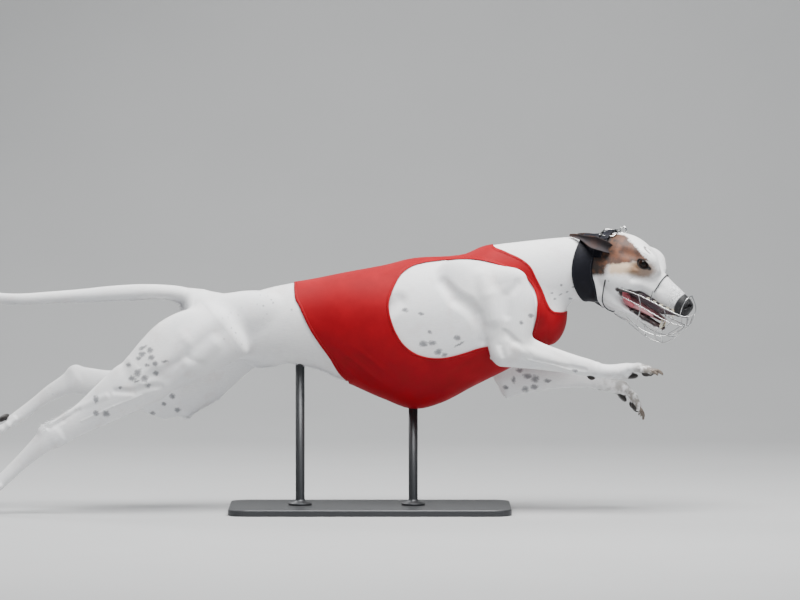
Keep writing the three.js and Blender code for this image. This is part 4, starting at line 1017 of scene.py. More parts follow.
def head_coat(shade, where):
    shade, x, y, z, base, roughness, height, hair, ragged, pads = paint_coat(shade, where)
    local = shade.placed(shade.placed(where, place=(-0.506, 0.004, 0)), turn=(0, 0, head_yaw),
                         scale=(1000, 1000, 1000))
    a, v, c = shade.parts(local)
    away = shade.sum("ABSOLUTE", v)
    wave = (shade.noise(where, 70, 4, 0.65) - 0.5) * 14 + ragged * 16
    front = (a - 60 - (614 - c) * 1.12 + wave).rise(4, -4)
    low_edge = (c - 549 - (a - 57) * 0.08 + wave).rise(-3, 3)
    beside_blaze = (away - 15 - a * 0.02 + wave).rise(-3, 3)
    patch = front * low_edge * beside_blaze
    brown = shade.mix(shade.noise(where, 40, 4, 0.6).rise(0.35, 0.62),
                      (0.15, 0.046, 0.014), (0.055, 0.02, 0.01))
    eye_distance = shade.sum("POWER", (a - 110) * (a - 110) + (c - 536) * (c - 536) * 2.2, 0.5)
    tan_zone = (eye_distance + wave).rise(40, 16) * away.rise(18, 26)
    cream_zone = (a + wave).rise(30, 44) * (a + wave).rise(112, 90) * (c + wave).rise(518, 532) \
        * (c + wave).rise(556, 548)
    base = shade.mix(cream_zone * 0.8, base, (0.5, 0.33, 0.18))
    base = shade.mix(tan_zone * 0.85, base, (0.17, 0.078, 0.028))
    base = shade.mix(patch * 0.97, base, brown)
    behind = (a - 38 - (c - 550) * 0.3 + wave).rise(9, -9) * (c + wave * 0.6).rise(516, 528)
    behind = behind * away.rise(12, 20)
    dark = shade.mix(shade.noise(where, 55, 4, 0.7).rise(0.4, 0.65),
                     (0.018, 0.012, 0.01), (0.09, 0.035, 0.016))
    base = shade.mix(behind, base, dark)
    streak = (a - 117) * 0.606 + (c - 578) * 0.795 + ragged * 2
    streak = shade.sum("ABSOLUTE", streak).rise(1.4, 0.5) * (a - 117).rise(-12, -8) * (a - 117).rise(12, 7)
    base = shade.mix(streak * v.rise(-6, -10) * 0.8, base, (0.03, 0.02, 0.02))
    muzzle_specks = shade.noise(where, 420, 3, 0.6).rise(0.45, 0.62) * a.rise(146, 186)
    base = shade.mix(muzzle_specks * 0.85, base, (0.1, 0.1, 0.11))
    mouth, gums, lips = shade.attribute("mouth"), shade.attribute("gums"), shade.attribute("lips")
    leather, lids = shade.attribute("leather"), shade.attribute("lids")
    # Inside of the mouth: red-pink flesh at the corners, turning dark towards the front. The dark is partly
    # the palate's own colour and partly painted shade in the hollow between the jaws.
    mouth_colour_and_painted_shade = shade.mix(a.rise(80, 112), (0.5, 0.12, 0.15), (0.05, 0.018, 0.02))
    base = shade.mix(mouth, base, mouth_colour_and_painted_shade)
    base = shade.mix(gums, base, (0.035, 0.02, 0.026))
    base = shade.mix(lips, base, shade.mix(shade.noise(where, 120, 3, 0.6).rise(0.4, 0.7),
                                           (0.012, 0.011, 0.012), (0.07, 0.04, 0.04)))
    base = shade.mix(lids, base, (0.012, 0.01, 0.01))
    base = shade.mix(leather, base, (0.013, 0.013, 0.015))
    bare = shade.sum("MAXIMUM", shade.sum("MAXIMUM", mouth, gums), shade.sum("MAXIMUM", lips, leather))
    pebbles = shade.node("ShaderNodeTexVoronoi", {"feature": "DISTANCE_TO_EDGE"}, {
        "Vector": where, "Scale": 620.0}, "Distance")
    height = height * (1 - bare) + pebbles.rise(0, 0.25) * leather * 0.7
    roughness = roughness * (1 - bare) + bare * 0.3
    return {"Base Color": base, "Roughness": roughness, "Sheen Weight": 0.12, "Sheen Roughness": 0.5,
            "Specular IOR Level": 0.35, "Normal": shade.bump(height, 0.0008, 0.5)}


coat = material("short_white_coat", body_coat)
face_coat = material("face_coat", head_coat)
for piece in skins:
    piece.data.materials.append(face_coat if piece.name == "skin_head" else coat)
print("coat nodes:", len(coat.node_tree.nodes), len(face_coat.node_tree.nodes))

# %% Other finishes
def plain_noise_finish(first, second, scale, roughness, distance, **constants):
    """A finish with two near colours and a fine grain."""
    def paint(shade, where):
        grain = shade.noise(where, scale, 4, 0.6)
        return {"Base Color": shade.mix(grain.rise(0.3, 0.7), first, second),
                "Roughness": roughness + (grain - 0.5) * 0.2,
                "Normal": shade.bump(grain, distance, 0.6), **constants}
    return paint


def red_cloth(shade, where):
    u, v, w = shade.parts(shade.placed(where, scale=(1000, 1000, 1000)))
    ribs = shade.sum("SINE", (u + w * 0.15) * 9.0) * 0.5 + shade.sum("SINE", (w + v) * 9.0) * 0.5
    worn = shade.noise(where, 24, 4, 0.6)
    fuzz = shade.noise(where, 900, 2, 0.6)
    base = shade.mix(worn.rise(0.3, 0.75), (0.25, 0.0003, 0.0055), (0.31, 0.0004, 0.007))
    base = shade.mix(fuzz.rise(0.45, 0.7) * 0.25, base, (0.35, 0.0, 0.008))
    return {"Base Color": base, "Roughness": 0.6 + (fuzz - 0.5) * 0.2, "Specular IOR Level": 0.16,
            "Normal": shade.bump(ribs * 0.3 + fuzz * 0.4, 0.00025, 0.5)}


def black_leather(shade, where):
    grain = shade.node("ShaderNodeTexVoronoi", {"feature": "DISTANCE_TO_EDGE"}, {
        "Vector": where, "Scale": 700.0}, "Distance").rise(0, 0.2)
    scuffs = shade.noise(where, 45, 5, 0.7)
    base = shade.mix(scuffs.rise(0.45, 0.8), (0.003, 0.0032, 0.007), (0.009, 0.010, 0.018))
    return {"Base Color": base, "Roughness": 0.58 + (scuffs - 0.5) * 0.3, "Specular IOR Level": 0.18,
            "Normal": shade.bump(grain * 0.5 + scuffs * 0.5, 0.0004, 0.5)}


def ear_fur(shade, where):
    fine = shade.noise(where, 420, 4, 0.7)
    broad = shade.noise(where, 40, 4, 0.6)
    base = shade.mix(broad.rise(0.4, 0.65), (0.010, 0.007, 0.007), (0.045, 0.018, 0.010))
    base = shade.mix(fine.rise(0.5, 0.75) * 0.3, base, (0.05, 0.028, 0.02))
    inner = shade.attribute("inner")
    base = shade.mix(inner * 0.5, base, (0.045, 0.04, 0.045))
    return {"Base Color": base, "Roughness": 0.75 + (fine - 0.5) * 0.2, "Specular IOR Level": 0.2,
            "Normal": shade.bump(fine, 0.0008, 0.5)}


def dark_eye(shade, where):
    gaze = shade.attribute("gaze")
    streaks = shade.noise(where, 500, 3, 0.6)
    iris = shade.mix(streaks.rise(0.3, 0.7), (0.018, 0.008, 0.005), (0.008, 0.004, 0.003))
    base = shade.mix(gaze.rise(0.62, 0.56), iris, (0.07, 0.05, 0.045))
    base = shade.mix(gaze.rise(0.915, 0.94), base, (0.003, 0.003, 0.003))
    return {"Base Color": base, "Roughness": 0.12, "Specular IOR Level": 0.16}


cloth_red = material("red_stretch_cloth", red_cloth)
leather_black = material("black_leather", black_leather)
thread_red = material("dark_red_thread", plain_noise_finish(
    (0.3, 0.0, 0.004), (0.42, 0.004, 0.006), 900, 0.6, 0.0002))
thread_black = material("black_thread", plain_noise_finish(
    (0.02, 0.02, 0.025), (0.05, 0.05, 0.06), 900, 0.6, 0.0002))
ear_coat = material("dark_ear_coat", ear_fur)
eye_glass = material("dark_brown_eye", dark_eye)
horn = material("claw_horn", plain_noise_finish((0.09, 0.07, 0.055), (0.22, 0.18, 0.15), 160, 0.38, 0.0003))
ivory = material("tooth_ivory", plain_noise_finish(
    (0.72, 0.62, 0.43), (0.82, 0.76, 0.62), 130, 0.25, 0.0002, **{"Coat Weight": 0.5}))
tongue_pink = material("wet_tongue", plain_noise_finish(
    (0.62, 0.24, 0.27), (0.72, 0.36, 0.38), 420, 0.32, 0.0006, **{"Coat Weight": 0.6}))
wire_steel = material("plated_wire", plain_noise_finish(
    (0.55, 0.56, 0.57), (0.7, 0.7, 0.69), 150, 0.24, 0.0001, **{"Metallic": 1.0}))
black_coating = material("black_coated_wire", plain_noise_finish(
    (0.010, 0.010, 0.012), (0.022, 0.022, 0.026), 300, 0.42, 0.0002))
stand_paint = material("satin_grey_stand", plain_noise_finish(
    (0.052, 0.054, 0.058), (0.064, 0.066, 0.07), 700, 0.42, 0.0001, **{"Metallic": 0.6}))
print("finishes made:", len(bpy.data.materials))

# %% [markdown]
# ## Jacket
# The racing jacket is stretch cloth, with a wide hole for each shoulder and a strap of cloth
# left along the spine. It can't be draped by a
# simulation, because it is held stretched all over, so it is drawn at a small height over the
# same field as the body and cut along the outlines seen from the side.

# %% The outlines of its openings
armhole = smooth_outline([
    (42, 466), (48, 422), (66, 383), (88, 360), (114, 347), (145, 342), (176, 345), (210, 354),
    (242, 364), (290, 372), (330, 378), (353, 392), (362, 418), (366, 446), (365, 477),
    (354, 502), (334, 521), (305, 535), (271, 549), (238, 557), (198, 559), (154, 555),
    (112, 549), (84, 538), (62, 516),
])
neck_edge = smooth_outline([
    (262, 640), (268, 590), (295, 575), (330, 559), (352, 541), (365, 515), (378, 489),
    (389, 461), (399, 446), (414, 441), (450, 441), (640, 441)], closed=False)
neck_opening = np.vstack([neck_edge, [(640, 640)]])
loin_edge = smooth_outline([
    (-43, 200), (-46, 282), (-53, 290), (-70, 309), (-88, 340), (-110, 371), (-132, 406),
    (-154, 454), (-166, 491), (-166, 640)], closed=False)
loin_opening = np.vstack([[(-600, 640), (-600, 200)], loin_edge])
spine_strap = 20.0


def jacket_limit(points):
    """Negative where the jacket is, and zero along its edges."""
    x, z = points[:, 0], points[:, 2]
    arm = np.minimum(inside_outline(armhole, x, z), np.abs(points[:, 1]) - spine_strap)
    return np.max([arm, inside_outline(neck_opening, x, z), inside_outline(loin_opening, x, z)], 0)


# %% The cloth, its folds and its hem
cloth_rise = 0.9
cloth_thickness = 1.0
jacket_step = 3.0
cloth_low, cloth_high = (-190, -130, 215), (450, 130, 590)


def cloth_surface(rise, limit):
    points, faces = skin_over(body_forms, cloth_low, cloth_high, jacket_step, rise)
    return trimmed(body_forms, points, faces, limit, rise)


def folds(points):
    """Small tension folds in the cloth at the waist and by the elbow, in millimetres."""
    x, z = points[:, 0], points[:, 2]
    waist = np.exp(-((x + 20) / 60) ** 2 - ((z - 318) / 42) ** 2)
    elbow = np.exp(-((x - 215) / 60) ** 2 - ((z - 325) / 26) ** 2)
    across = 0.55 * x + 0.83 * z
    return (waist * np.sin(across / 4.4 + 0.03 * x) + 0.7 * elbow * np.sin((0.8 * z - 0.5 * x) / 5)
            + 0.35 * np.sin(x / 37 + z / 23)) * 0.9


def thickened(piece, thickness):
    """Gives an open surface a wall outwards."""
    modifier = piece.modifiers.new("wall", "SOLIDIFY")
    modifier.thickness = thickness * metres
    modifier.offset = 1.0
    return piece


cloth_points, cloth_faces = cloth_surface(cloth_rise, jacket_limit)
cloth_out, _ = outward_at(body_forms, cloth_points)
lift = np.maximum(folds(cloth_points), 0) * np.clip(-jacket_limit(cloth_points) / 12, 0, 1)
cloth_points = cloth_points + cloth_out * lift[:, None]
jacket = thickened(piece_from("jacket_cloth", cloth_points, cloth_faces, cloth_red), cloth_thickness)
hem_width = 5.5
hem_rise = cloth_rise + cloth_thickness - 0.05
hem_points, hem_faces = cloth_surface(
    hem_rise, lambda p: np.maximum(jacket_limit(p) - 0.4, -hem_width - jacket_limit(p)))
hem = thickened(piece_from("jacket_hem", hem_points, hem_faces, cloth_red), 0.4)


def surface_area(points, faces):
    """The area of four-sided faces in square metres."""
    p = np.array(points)[faces] * metres
    cross = np.cross(p[:, 2] - p[:, 0], p[:, 3] - p[:, 1])
    return 0.5 * np.linalg.norm(cross, axis=1).sum()


cloth_area = surface_area(cloth_points, cloth_faces)
print("jacket cloth, square metres:", round(cloth_area, 4), "hem faces:", len(hem_faces))

# %% [markdown]
# ## Geometry Nodes for what follows a line
# Stitches and wires follow lines. One tree turns the edges of a mesh into a round wire. Another
# sets a short stitch at even steps along them. Both have their sizes as named inputs, so the
# same tree serves the jacket, the collar and the muzzle.

# %% Trees for wires and stitches
def node_tree(name, sizes):
    """An empty Geometry Nodes tree with named number inputs and one material input."""
    tree = bpy.data.node_groups.new(name, "GeometryNodeTree")
    tree.interface.new_socket("Geometry", in_out="INPUT", socket_type="NodeSocketGeometry")
    for size, value in sizes.items():
        socket = tree.interface.new_socket(size, in_out="INPUT", socket_type="NodeSocketFloat")
        socket.default_value = value
    tree.interface.new_socket("Material", in_out="INPUT", socket_type="NodeSocketMaterial")
    tree.interface.new_socket("Geometry", in_out="OUTPUT", socket_type="NodeSocketGeometry")
    return tree


def linked(tree, kind, settings=None, **inputs):
    """A node in a geometry tree, with its inputs given as links or numbers."""
    made = tree.nodes.new(kind)
    for name, value in (settings or {}).items():
        setattr(made, name, value)
    for name, value in inputs.items():
        target = made.inputs[name.replace("_", " ")]
        if isinstance(value, bpy.types.NodeSocket):
            tree.links.new(value, target)
        else:
            target.default_value = value
    return made


def wire_tree():
    """Every chain of edges becomes a round wire with closed ends."""
    tree = node_tree("round_wire", {"Radius": 0.001, "Sides": 12.0})
    given = tree.nodes.new("NodeGroupInput")
    line = linked(tree, "GeometryNodeMeshToCurve", Mesh=given.outputs["Geometry"])
    ring = linked(tree, "GeometryNodeCurvePrimitiveCircle", Radius=given.outputs["Radius"],
                  Resolution=given.outputs["Sides"])
    tube = linked(tree, "GeometryNodeCurveToMesh", Curve=line.outputs[0], Profile_Curve=ring.outputs[0])
    tube.inputs["Fill Caps"].default_value = True
    real = linked(tree, "GeometryNodeRealizeInstances", Geometry=tube.outputs[0])
    dressed = linked(tree, "GeometryNodeSetMaterial", Geometry=real.outputs[0],
                     Material=given.outputs["Material"])
    end = tree.nodes.new("NodeGroupOutput")
    tree.links.new(dressed.outputs[0], end.inputs[0])
    return tree


def stitch_tree():
    """A short thread at even steps along every chain of edges."""
    tree = node_tree("stitches", {"Step": 0.004, "Length": 0.0026, "Thickness": 0.0005})
    given = tree.nodes.new("NodeGroupInput")
    line = linked(tree, "GeometryNodeMeshToCurve", Mesh=given.outputs["Geometry"])
    even = linked(tree, "GeometryNodeResampleCurve", {"mode": "LENGTH"}, Curve=line.outputs[0],
                  Length=given.outputs["Step"])
    thread = linked(tree, "GeometryNodeMeshUVSphere", Segments=6, Rings=4, Radius=0.5)
    stretch = linked(tree, "ShaderNodeCombineXYZ", X=given.outputs["Thickness"],
                     Y=given.outputs["Thickness"], Z=given.outputs["Length"])
    tangent = tree.nodes.new("GeometryNodeInputTangent")
    turn = linked(tree, "FunctionNodeAlignRotationToVector", {"axis": "Z"}, Vector=tangent.outputs[0])
    spread = linked(tree, "GeometryNodeInstanceOnPoints", Points=even.outputs[0],
                    Instance=thread.outputs[0], Rotation=turn.outputs[0], Scale=stretch.outputs[0])
    real = linked(tree, "GeometryNodeRealizeInstances", Geometry=spread.outputs[0])
    dressed = linked(tree, "GeometryNodeSetMaterial", Geometry=real.outputs[0],
                     Material=given.outputs["Material"])
    end = tree.nodes.new("NodeGroupOutput")
    tree.links.new(dressed.outputs[0], end.inputs[0])
    return tree


round_wire, stitches = wire_tree(), stitch_tree()


def grown_on_lines(name, lines, tree, finish, **sizes):
    """Runs a tree on lines of points in millimetres and keeps the result as a plain mesh."""
    points, edges = [], []
    for line, closed in lines:
        start = len(points)
        points += [tuple(float(n) * metres for n in p) for p in line]
        edges += [(start + i, start + i + 1) for i in range(len(line) - 1)]
        if closed:
            edges.append((len(points) - 1, start))
    mesh = bpy.data.meshes.new(name + "_lines")
    mesh.from_pydata(points, edges, [])
    guide = bpy.data.objects.new(name + "_lines", mesh)
    bpy.context.scene.collection.objects.link(guide)
    modifier = guide.modifiers.new("grow", "NODES")
    modifier.node_group = tree
    sockets = {s.name: s.identifier for s in tree.interface.items_tree if s.in_out == "INPUT"}
    for size, value in sizes.items():
        modifier[sockets[size]] = value
    modifier[sockets["Material"]] = finish
    graph = bpy.context.evaluated_depsgraph_get()
    made_mesh = bpy.data.meshes.new_from_object(guide.evaluated_get(graph))
    bpy.data.objects.remove(guide)
    made = bpy.data.objects.new(name, made_mesh)
    bpy.context.scene.collection.objects.link(made)
    for polygon in made_mesh.polygons:
        polygon.use_smooth = True
    if finish.name not in made_mesh.materials:
        made_mesh.materials.append(finish)
    print(name, "faces:", len(made_mesh.polygons))
    return made


# %% Stitching along the hem
def border_chains(faces):
    """The open borders of a set of faces, each as a closed chain of point numbers."""
    edges = np.concatenate([np.stack([faces[:, i], faces[:, (i + 1) % 4]], 1) for i in range(4)])
    ordered = np.sort(edges, 1)
    _, place, count = np.unique(ordered, axis=0, return_index=True, return_counts=True)
    follow = {int(a): int(b) for a, b in edges[place[count == 1]]}
    chains = []
    while follow:
        start, chain = next(iter(follow)), []
        here = start
        while here in follow:
            chain.append(here)
            here = follow.pop(here)
        chains.append(chain)
    return chains


stitch_lines = []
for chain in border_chains(hem_faces):
    line = hem_points[chain]
    if jacket_limit(line).mean() < -hem_width / 2 and len(chain) > 20:
        out, _ = outward_at(body_forms, line)
        stitch_lines.append((line + out * 0.4, True))
hem_stitches = grown_on_lines("jacket_stitches", stitch_lines, stitches, thread_red,
                              Step=0.0042, Length=0.0028, Thickness=0.0006)

# %% [markdown]
# ## Collar
# A racing collar is a wide band of leather that spreads the pull over a thin neck. Its inside
# follows the neck, and its rounded edges are turned over and stitched. It is drawn in rings:
# each ray leaves the middle of the neck and stops where the flesh ends.

# %% Rays from inside the flesh to its surface
def ray_out(forms, origins, rays, level, farthest=140.0, step=3.0):
    """How far along each ray the forms' surface at that level lies."""
    far = np.zeros(len(origins))
    open_rays = np.ones(len(origins), bool)
    for reach in np.arange(step, farthest, step):
        still = depth_at(forms, origins[open_rays] + rays[open_rays] * reach) < level
        index = np.flatnonzero(open_rays)
        far[index[still]] = reach
        open_rays[index[~still]] = False
        if not open_rays.any():
            break
    near_end, far_end = far, far + step
    for _ in range(9):
        middle = (near_end + far_end) / 2
        within = depth_at(forms, origins + rays * middle[:, None]) < level
        near_end, far_end = np.where(within, middle, near_end), np.where(within, far_end, middle)
    return far_end


def ring_faces(rings, sides, closed_along):
    """Four-sided faces between rings of points."""
    faces = []
    for ring in range(rings if closed_along else rings - 1):
        for side in range(sides):
            a, b = ring * sides + side, ring * sides + (side + 1) % sides
            after = (ring + 1) % rings * sides
            faces.append((a, b, after + (side + 1) % sides, after + side))
    return np.array(faces)


collar_width, collar_inner = 40.0, 1.8
collar_sides = 120
collar_across = np.array((math.sin(collar_turn), math.cos(collar_turn), 0.0))
angles = np.linspace(0, 2 * math.pi, collar_sides, endpoint=False)
collar_rays = np.cos(angles)[:, None] * collar_across + np.sin(angles)[:, None] * np.array((0, 0, 1.0))
collar_profile = [(-1, 0.3), (-1, 2.6), (-0.97, 3.6), (-0.9, 4.0), (-0.84, 3.5), (-0.8, 3.3), (-0.4, 3.7),
                  (0, 3.9), (0.4, 3.7), (0.8, 3.3), (0.84, 3.5), (0.9, 4.0), (0.97, 3.6), (1, 2.6),
                  (1, 0.3), (0.6, 0), (0, 0), (-0.6, 0)]
neck_only = [Form(f.depth, f.low, f.high, f.blend, f.carves) for f in body_forms]
skull_only = [turned(form) for form in skull]


def worn_reach(origins, rays, level):
    """The farther of the neck's and the skull's surfaces along each ray."""
    return np.maximum(ray_out(neck_only, origins, rays, level), ray_out(skull_only, origins, rays, level))


collar_sag = 9.0


def collar_origins(share):
    """Where a ring's rays start. The band lies further back on the sides than above and below."""
    back = share * collar_width / 2 - collar_sag * np.cos(angles) ** 2 + collar_sag / 2
    return collar_middle + collar_along * back[:, None]


rings = []
for share, rise in collar_profile:
    origins = collar_origins(share)
    reach = worn_reach(origins, collar_rays, collar_inner)
    rings.append(origins + collar_rays * (reach + rise)[:, None])
piece_from("collar_leather", np.concatenate(rings),
           ring_faces(len(rings), collar_sides, True)[:, ::-1], leather_black)
collar_lines = []
for share in (-0.87, 0.87):
    origins = collar_origins(share)
    reach = worn_reach(origins, collar_rays, collar_inner)
    collar_lines.append((origins + collar_rays * (reach + 3.9)[:, None], True))
grown_on_lines("collar_stitches", collar_lines, stitches, thread_black,
               Step=0.0038, Length=0.0027, Thickness=0.0007)
print("collar round, mm:", round(float(np.linalg.norm(
    np.diff(np.vstack([rings[7], rings[7][:1]]), axis=0), axis=1).sum())))

# %% [markdown]
# ## Wire muzzle
# Racing muzzles are bent from thin plated wire. Three wires run round the nose, a keel runs
# under the chin, hoops tie them together, and the whole hangs from a strap over the crown. The
# wires are drawn as smooth lines in the head's frame and grown into round wire by the tree
# above. A small drop of weld sits on each crossing.

# %% The wires' lines
wire_radius = 1.05
wire_clearance = 5.0


def smooth_path(points, each=8):
    """A smooth open line through points in space."""
    points = [np.array(p, float) for p in points]
    line = []
    for i in range(len(points) - 1):
        before, start, end = points[max(i - 1, 0)], points[i], points[i + 1]
        after = points[min(i + 2, len(points) - 1)]
        for t in np.arange(each) / each:
            line.append(0.5 * (2 * start + (end - before) * t
                               + (2 * before - 5 * start + 4 * end - after) * t**2
                               + (3 * start - before - 3 * end + after) * t**3))
    line.append(points[-1])
    return np.array(line)


def round_nose(side_points, front):
    """A wire along one cheek, round the nose and back along the other cheek."""
    cleared = []
    for a, v, c in side_points:
        face = abs(side_surface(skull, a, c, 1))
        cleared.append((a, max(v, face + wire_clearance if face else v), c))
    right = [(a, -v, c) for a, v, c in cleared]
    return smooth_path(right + [front] + cleared[::-1])


upper_rim = round_nose([(60, 43, 496), (100, 37, 480), (150, 29, 455), (190, 22, 436), (209, 12, 434)],
                       (217, 0, 436))
middle_rim = round_nose([(62, 43, 478), (104, 35, 455), (152, 29, 428), (188, 20, 414), (201, 11, 413)],
                        (206, 0, 414))
low_rim = round_nose([(70, 30, 432), (104, 27, 404), (142, 24, 391), (176, 17, 396)], (190, 0, 404))
keel = smooth_path([(34, 0, 436), (62, 0, 420), (93, 0, 396), (120, 0, 381), (146, 0, 375), (172, 0, 386),
                    (190, 0, 404), (206, 0, 414), (217, 0, 436), (219.5, 0, 455), (211, 0, 478)])
flip = np.array((1, -1, 1))
hoops = []
for share in (0.1, 0.22, 0.32, 0.4):
    spots = [rim[int(share * (len(rim) - 1))] for rim in (upper_rim, middle_rim, low_rim)]
    bottom = keel[int((0.12 + share * 1.25) * (len(keel) - 1))]
    hoops.append(smooth_path(spots + [bottom] + [spot * flip for spot in spots[::-1]]))
nose_loop = smooth_path([(190, -22, 436), (196, -23, 455), (205, -18, 472), (211, 0, 478),
                         (205, 18, 472), (196, 23, 455), (190, 22, 436)])
chin_loop = smooth_path([(34, 0, 436), (44, -7, 431), (60, -7, 423), (68, 0, 419),
                         (60, 7, 423), (44, 7, 431), (34, 0, 436)])
stays = [smooth_path([(127, 34 * side, 466), (129, 33 * side, 478), (131, 31 * side, 489)])
         for side in (-1, 1)]
basket_lines = [upper_rim, middle_rim, low_rim, keel, *hoops, nose_loop, chin_loop, *stays]
grown_on_lines("muzzle_wires", [(in_world(line), False) for line in basket_lines], round_wire,
               wire_steel, Radius=wire_radius * metres, Sides=12.0)
bridge_angles = np.radians(np.linspace(-4, 184, 40))
bridge_up = np.array((0.5, 0, 0.87))
bridge_rays = np.cos(bridge_angles)[:, None] * np.array((0, -1.0, 0)) \
    + np.sin(bridge_angles)[:, None] * bridge_up
bridge_starts = np.repeat([(134, 0, 488.0)], len(bridge_angles), 0)
bridge = bridge_starts + bridge_rays * ray_out(skull, bridge_starts, bridge_rays, 1.4)[:, None]
grown_on_lines("muzzle_nose_wire_coated", [(in_world(bridge), False)], round_wire,
               black_coating, Radius=1.2 * metres, Sides=12.0)
throat_side = [(29, 45, 513), (22, 45, 490), (19, 42, 466), (23, 28, 450)]
throat_side = [(a, max(v, abs(side_surface(head_base, a, c, 1)) + 1.6), c) for a, v, c in throat_side]
throat = smooth_path([(a, -v, c) for a, v, c in throat_side] + [(31, 0, 441)] + throat_side[::-1])
grown_on_lines("muzzle_throat_wire_coated", [(in_world(throat), False)], round_wire,
               black_coating, Radius=1.5 * metres, Sides=12.0)

# %% Crown strap and buckle
strap_sides = 60
strap_profile = [(-1, 0.2), (-1, 1.9), (-0.9, 2.5), (0.9, 2.5), (1, 1.9), (1, 0.2)]
strap_angles = np.linspace(math.radians(20), math.radians(160), strap_sides)
strap_up = np.array((0.3, 0, 1.0)) / math.hypot(0.3, 1)
strap_rays = (np.cos(strap_angles)[:, None] * np.array((0, 1.0, 0))
              + np.sin(strap_angles)[:, None] * strap_up)
strap_rings = []
for share, rise in strap_profile:
    origins = np.repeat([(2 + share * 10, 0, 545.0)], strap_sides, 0)
    strap_rings.append(origins + strap_rays * (ray_out(skull, origins, strap_rays, 1.8) + rise)[:, None])


def band_over_crown(name, rings):
    """A closed band of leather from rings that run side by side over the crown."""
    rows, columns = len(rings), len(rings[0])
    faces = []
    for ring in range(rows):
        after = (ring + 1) % rows
        for side in range(columns - 1):
            faces.append((ring * columns + side + 1, ring * columns + side,
                          after * columns + side, after * columns + side + 1))
    faces.append(tuple(ring * columns for ring in range(rows)))
    faces.append(tuple(ring * columns + columns - 1 for ring in range(rows))[::-1])
    band = piece_from(name, in_world(np.concatenate(rings)), np.array(faces, dtype=object), leather_black)
    return band


band_over_crown("muzzle_strap_leather", strap_rings)
keeper_rings = [ring[18:44] + strap_up * 2.9 for ring in strap_rings[:6]]
band_over_crown("muzzle_strap_second_layer", keeper_rings)
buckle_corners = [(6, -27, 610), (42, -27, 606), (46, 4, 620), (10, 4, 622)]
buckle_line = []
for (ax, ay, az), (bx, by, bz) in zip(buckle_corners, buckle_corners[1:] + buckle_corners[:1]):
    for t in (0.1, 0.5, 0.9):
        buckle_line.append((ax + (bx - ax) * t, ay + (by - ay) * t, az + (bz - az) * t))
buckle_line = np.array(buckle_line)
buckle_cleared = depth_at(head_base, buckle_line) - 2.5
buckle_line[:, 2] += np.clip(-buckle_cleared, 0, 8)
ring_turn = np.radians(np.arange(0, 360, 12))
buckle_ring = np.stack([
    52 + 7 * np.cos(ring_turn), np.full(len(ring_turn), 4.0), 621 + 7 * np.sin(ring_turn)], 1)
grown_on_lines("muzzle_buckle_frame", [(in_world(buckle_line), True), (in_world(buckle_ring), True)],
               round_wire, wire_steel, Radius=1.6 * metres, Sides=12.0)

# %% [markdown]
# ## Ears, eyes, teeth, tongue and claws
# A greyhound folds its ears back when it runs. Each ear is a thin cupped leaf. Teeth and claws
# are bent tapering forms, drawn as rings along a path, and the tongue is its own small field
# with a furrow along the middle.

# %% Ears
def ear_points(side, rows=26, columns=16, thickness=2.6):
    """A cupped leaf of skin with two faces, in rings from root to tip."""
    middle_line = smooth_path([(40, 34 * side, 576), (27, 46 * side, 584), (5, 51 * side, 592),
                               (-12, 46 * side, 598), (-38, 37 * side, 606), (-62, 28 * side, 609)], each=12)
    shares = np.linspace(0, 1, len(middle_line))
    rings = []
    for row in range(rows + 1):
        t = row / rows
        centre = np.array([np.interp(t, shares, middle_line[:, i]) for i in range(3)])
        ahead = np.array([np.interp(min(t + 0.02, 1), shares, middle_line[:, i]) for i in range(3)])
        behind = np.array([np.interp(max(t - 0.02, 0), shares, middle_line[:, i]) for i in range(3)])
        along = (ahead - behind) / np.linalg.norm(ahead - behind)
        out = np.array((0, side, 0.35))
        out = out - along * (out @ along)
        out /= np.linalg.norm(out)
        upward = np.cross(out, along) * -side
        half = np.interp(t, (0, 0.2, 0.4, 0.58, 0.72, 0.9, 1), (7, 13, 15, 11, 6, 3.5, 1.2))
        ring = []
        for face in (0, 1):
            for column in range(columns + 1):
                across = 1 - 2 * column / columns if face else 2 * column / columns - 1
                edge = 1 - 0.7 * abs(across) ** 6
                bend = across * 1.15
                radius = half + (thickness / 2 if face else -thickness / 2)
                place = centre + upward * math.sin(bend) * radius
                place = place + out * ((1 - math.cos(bend)) * radius * 0.9
                                       - (thickness * edge if face else 0))
                ring.append(place)
        rings.append(ring if side < 0 else ring[::-1])
    return rings


ears = []
for name, side in sides.items():
    rings = ear_points(side)
    count = len(rings[0])
    points = [p for ring in rings for p in ring]
    faces = ring_faces(len(rings), count, False)[:, ::-1].tolist()
    points += [np.mean(rings[0], 0), np.mean(rings[-1], 0)]
    last = (len(rings) - 1) * count
    caps = [(len(points) - 2, i, (i + 1) % count) for i in range(count)]
    caps += [(len(points) - 1, last + (i + 1) % count, last + i) for i in range(count)]
    mesh = bpy.data.meshes.new("ear_leaf_" + name)
    mesh.from_pydata((in_world(points) * metres).tolist(), [], faces + caps)
    mesh.shade_smooth()
    mesh.materials.append(ear_coat)
    ear = bpy.data.objects.new("ear_leaf_" + name, mesh)
    bpy.context.scene.collection.objects.link(ear)
    inner = [1.0 if (i % count < count // 2) == (side < 0) else 0.0 for i in range(last + count)]
    painted(ear, "inner", np.array(inner + [0.5, 0.0]))
    ears.append(ear)

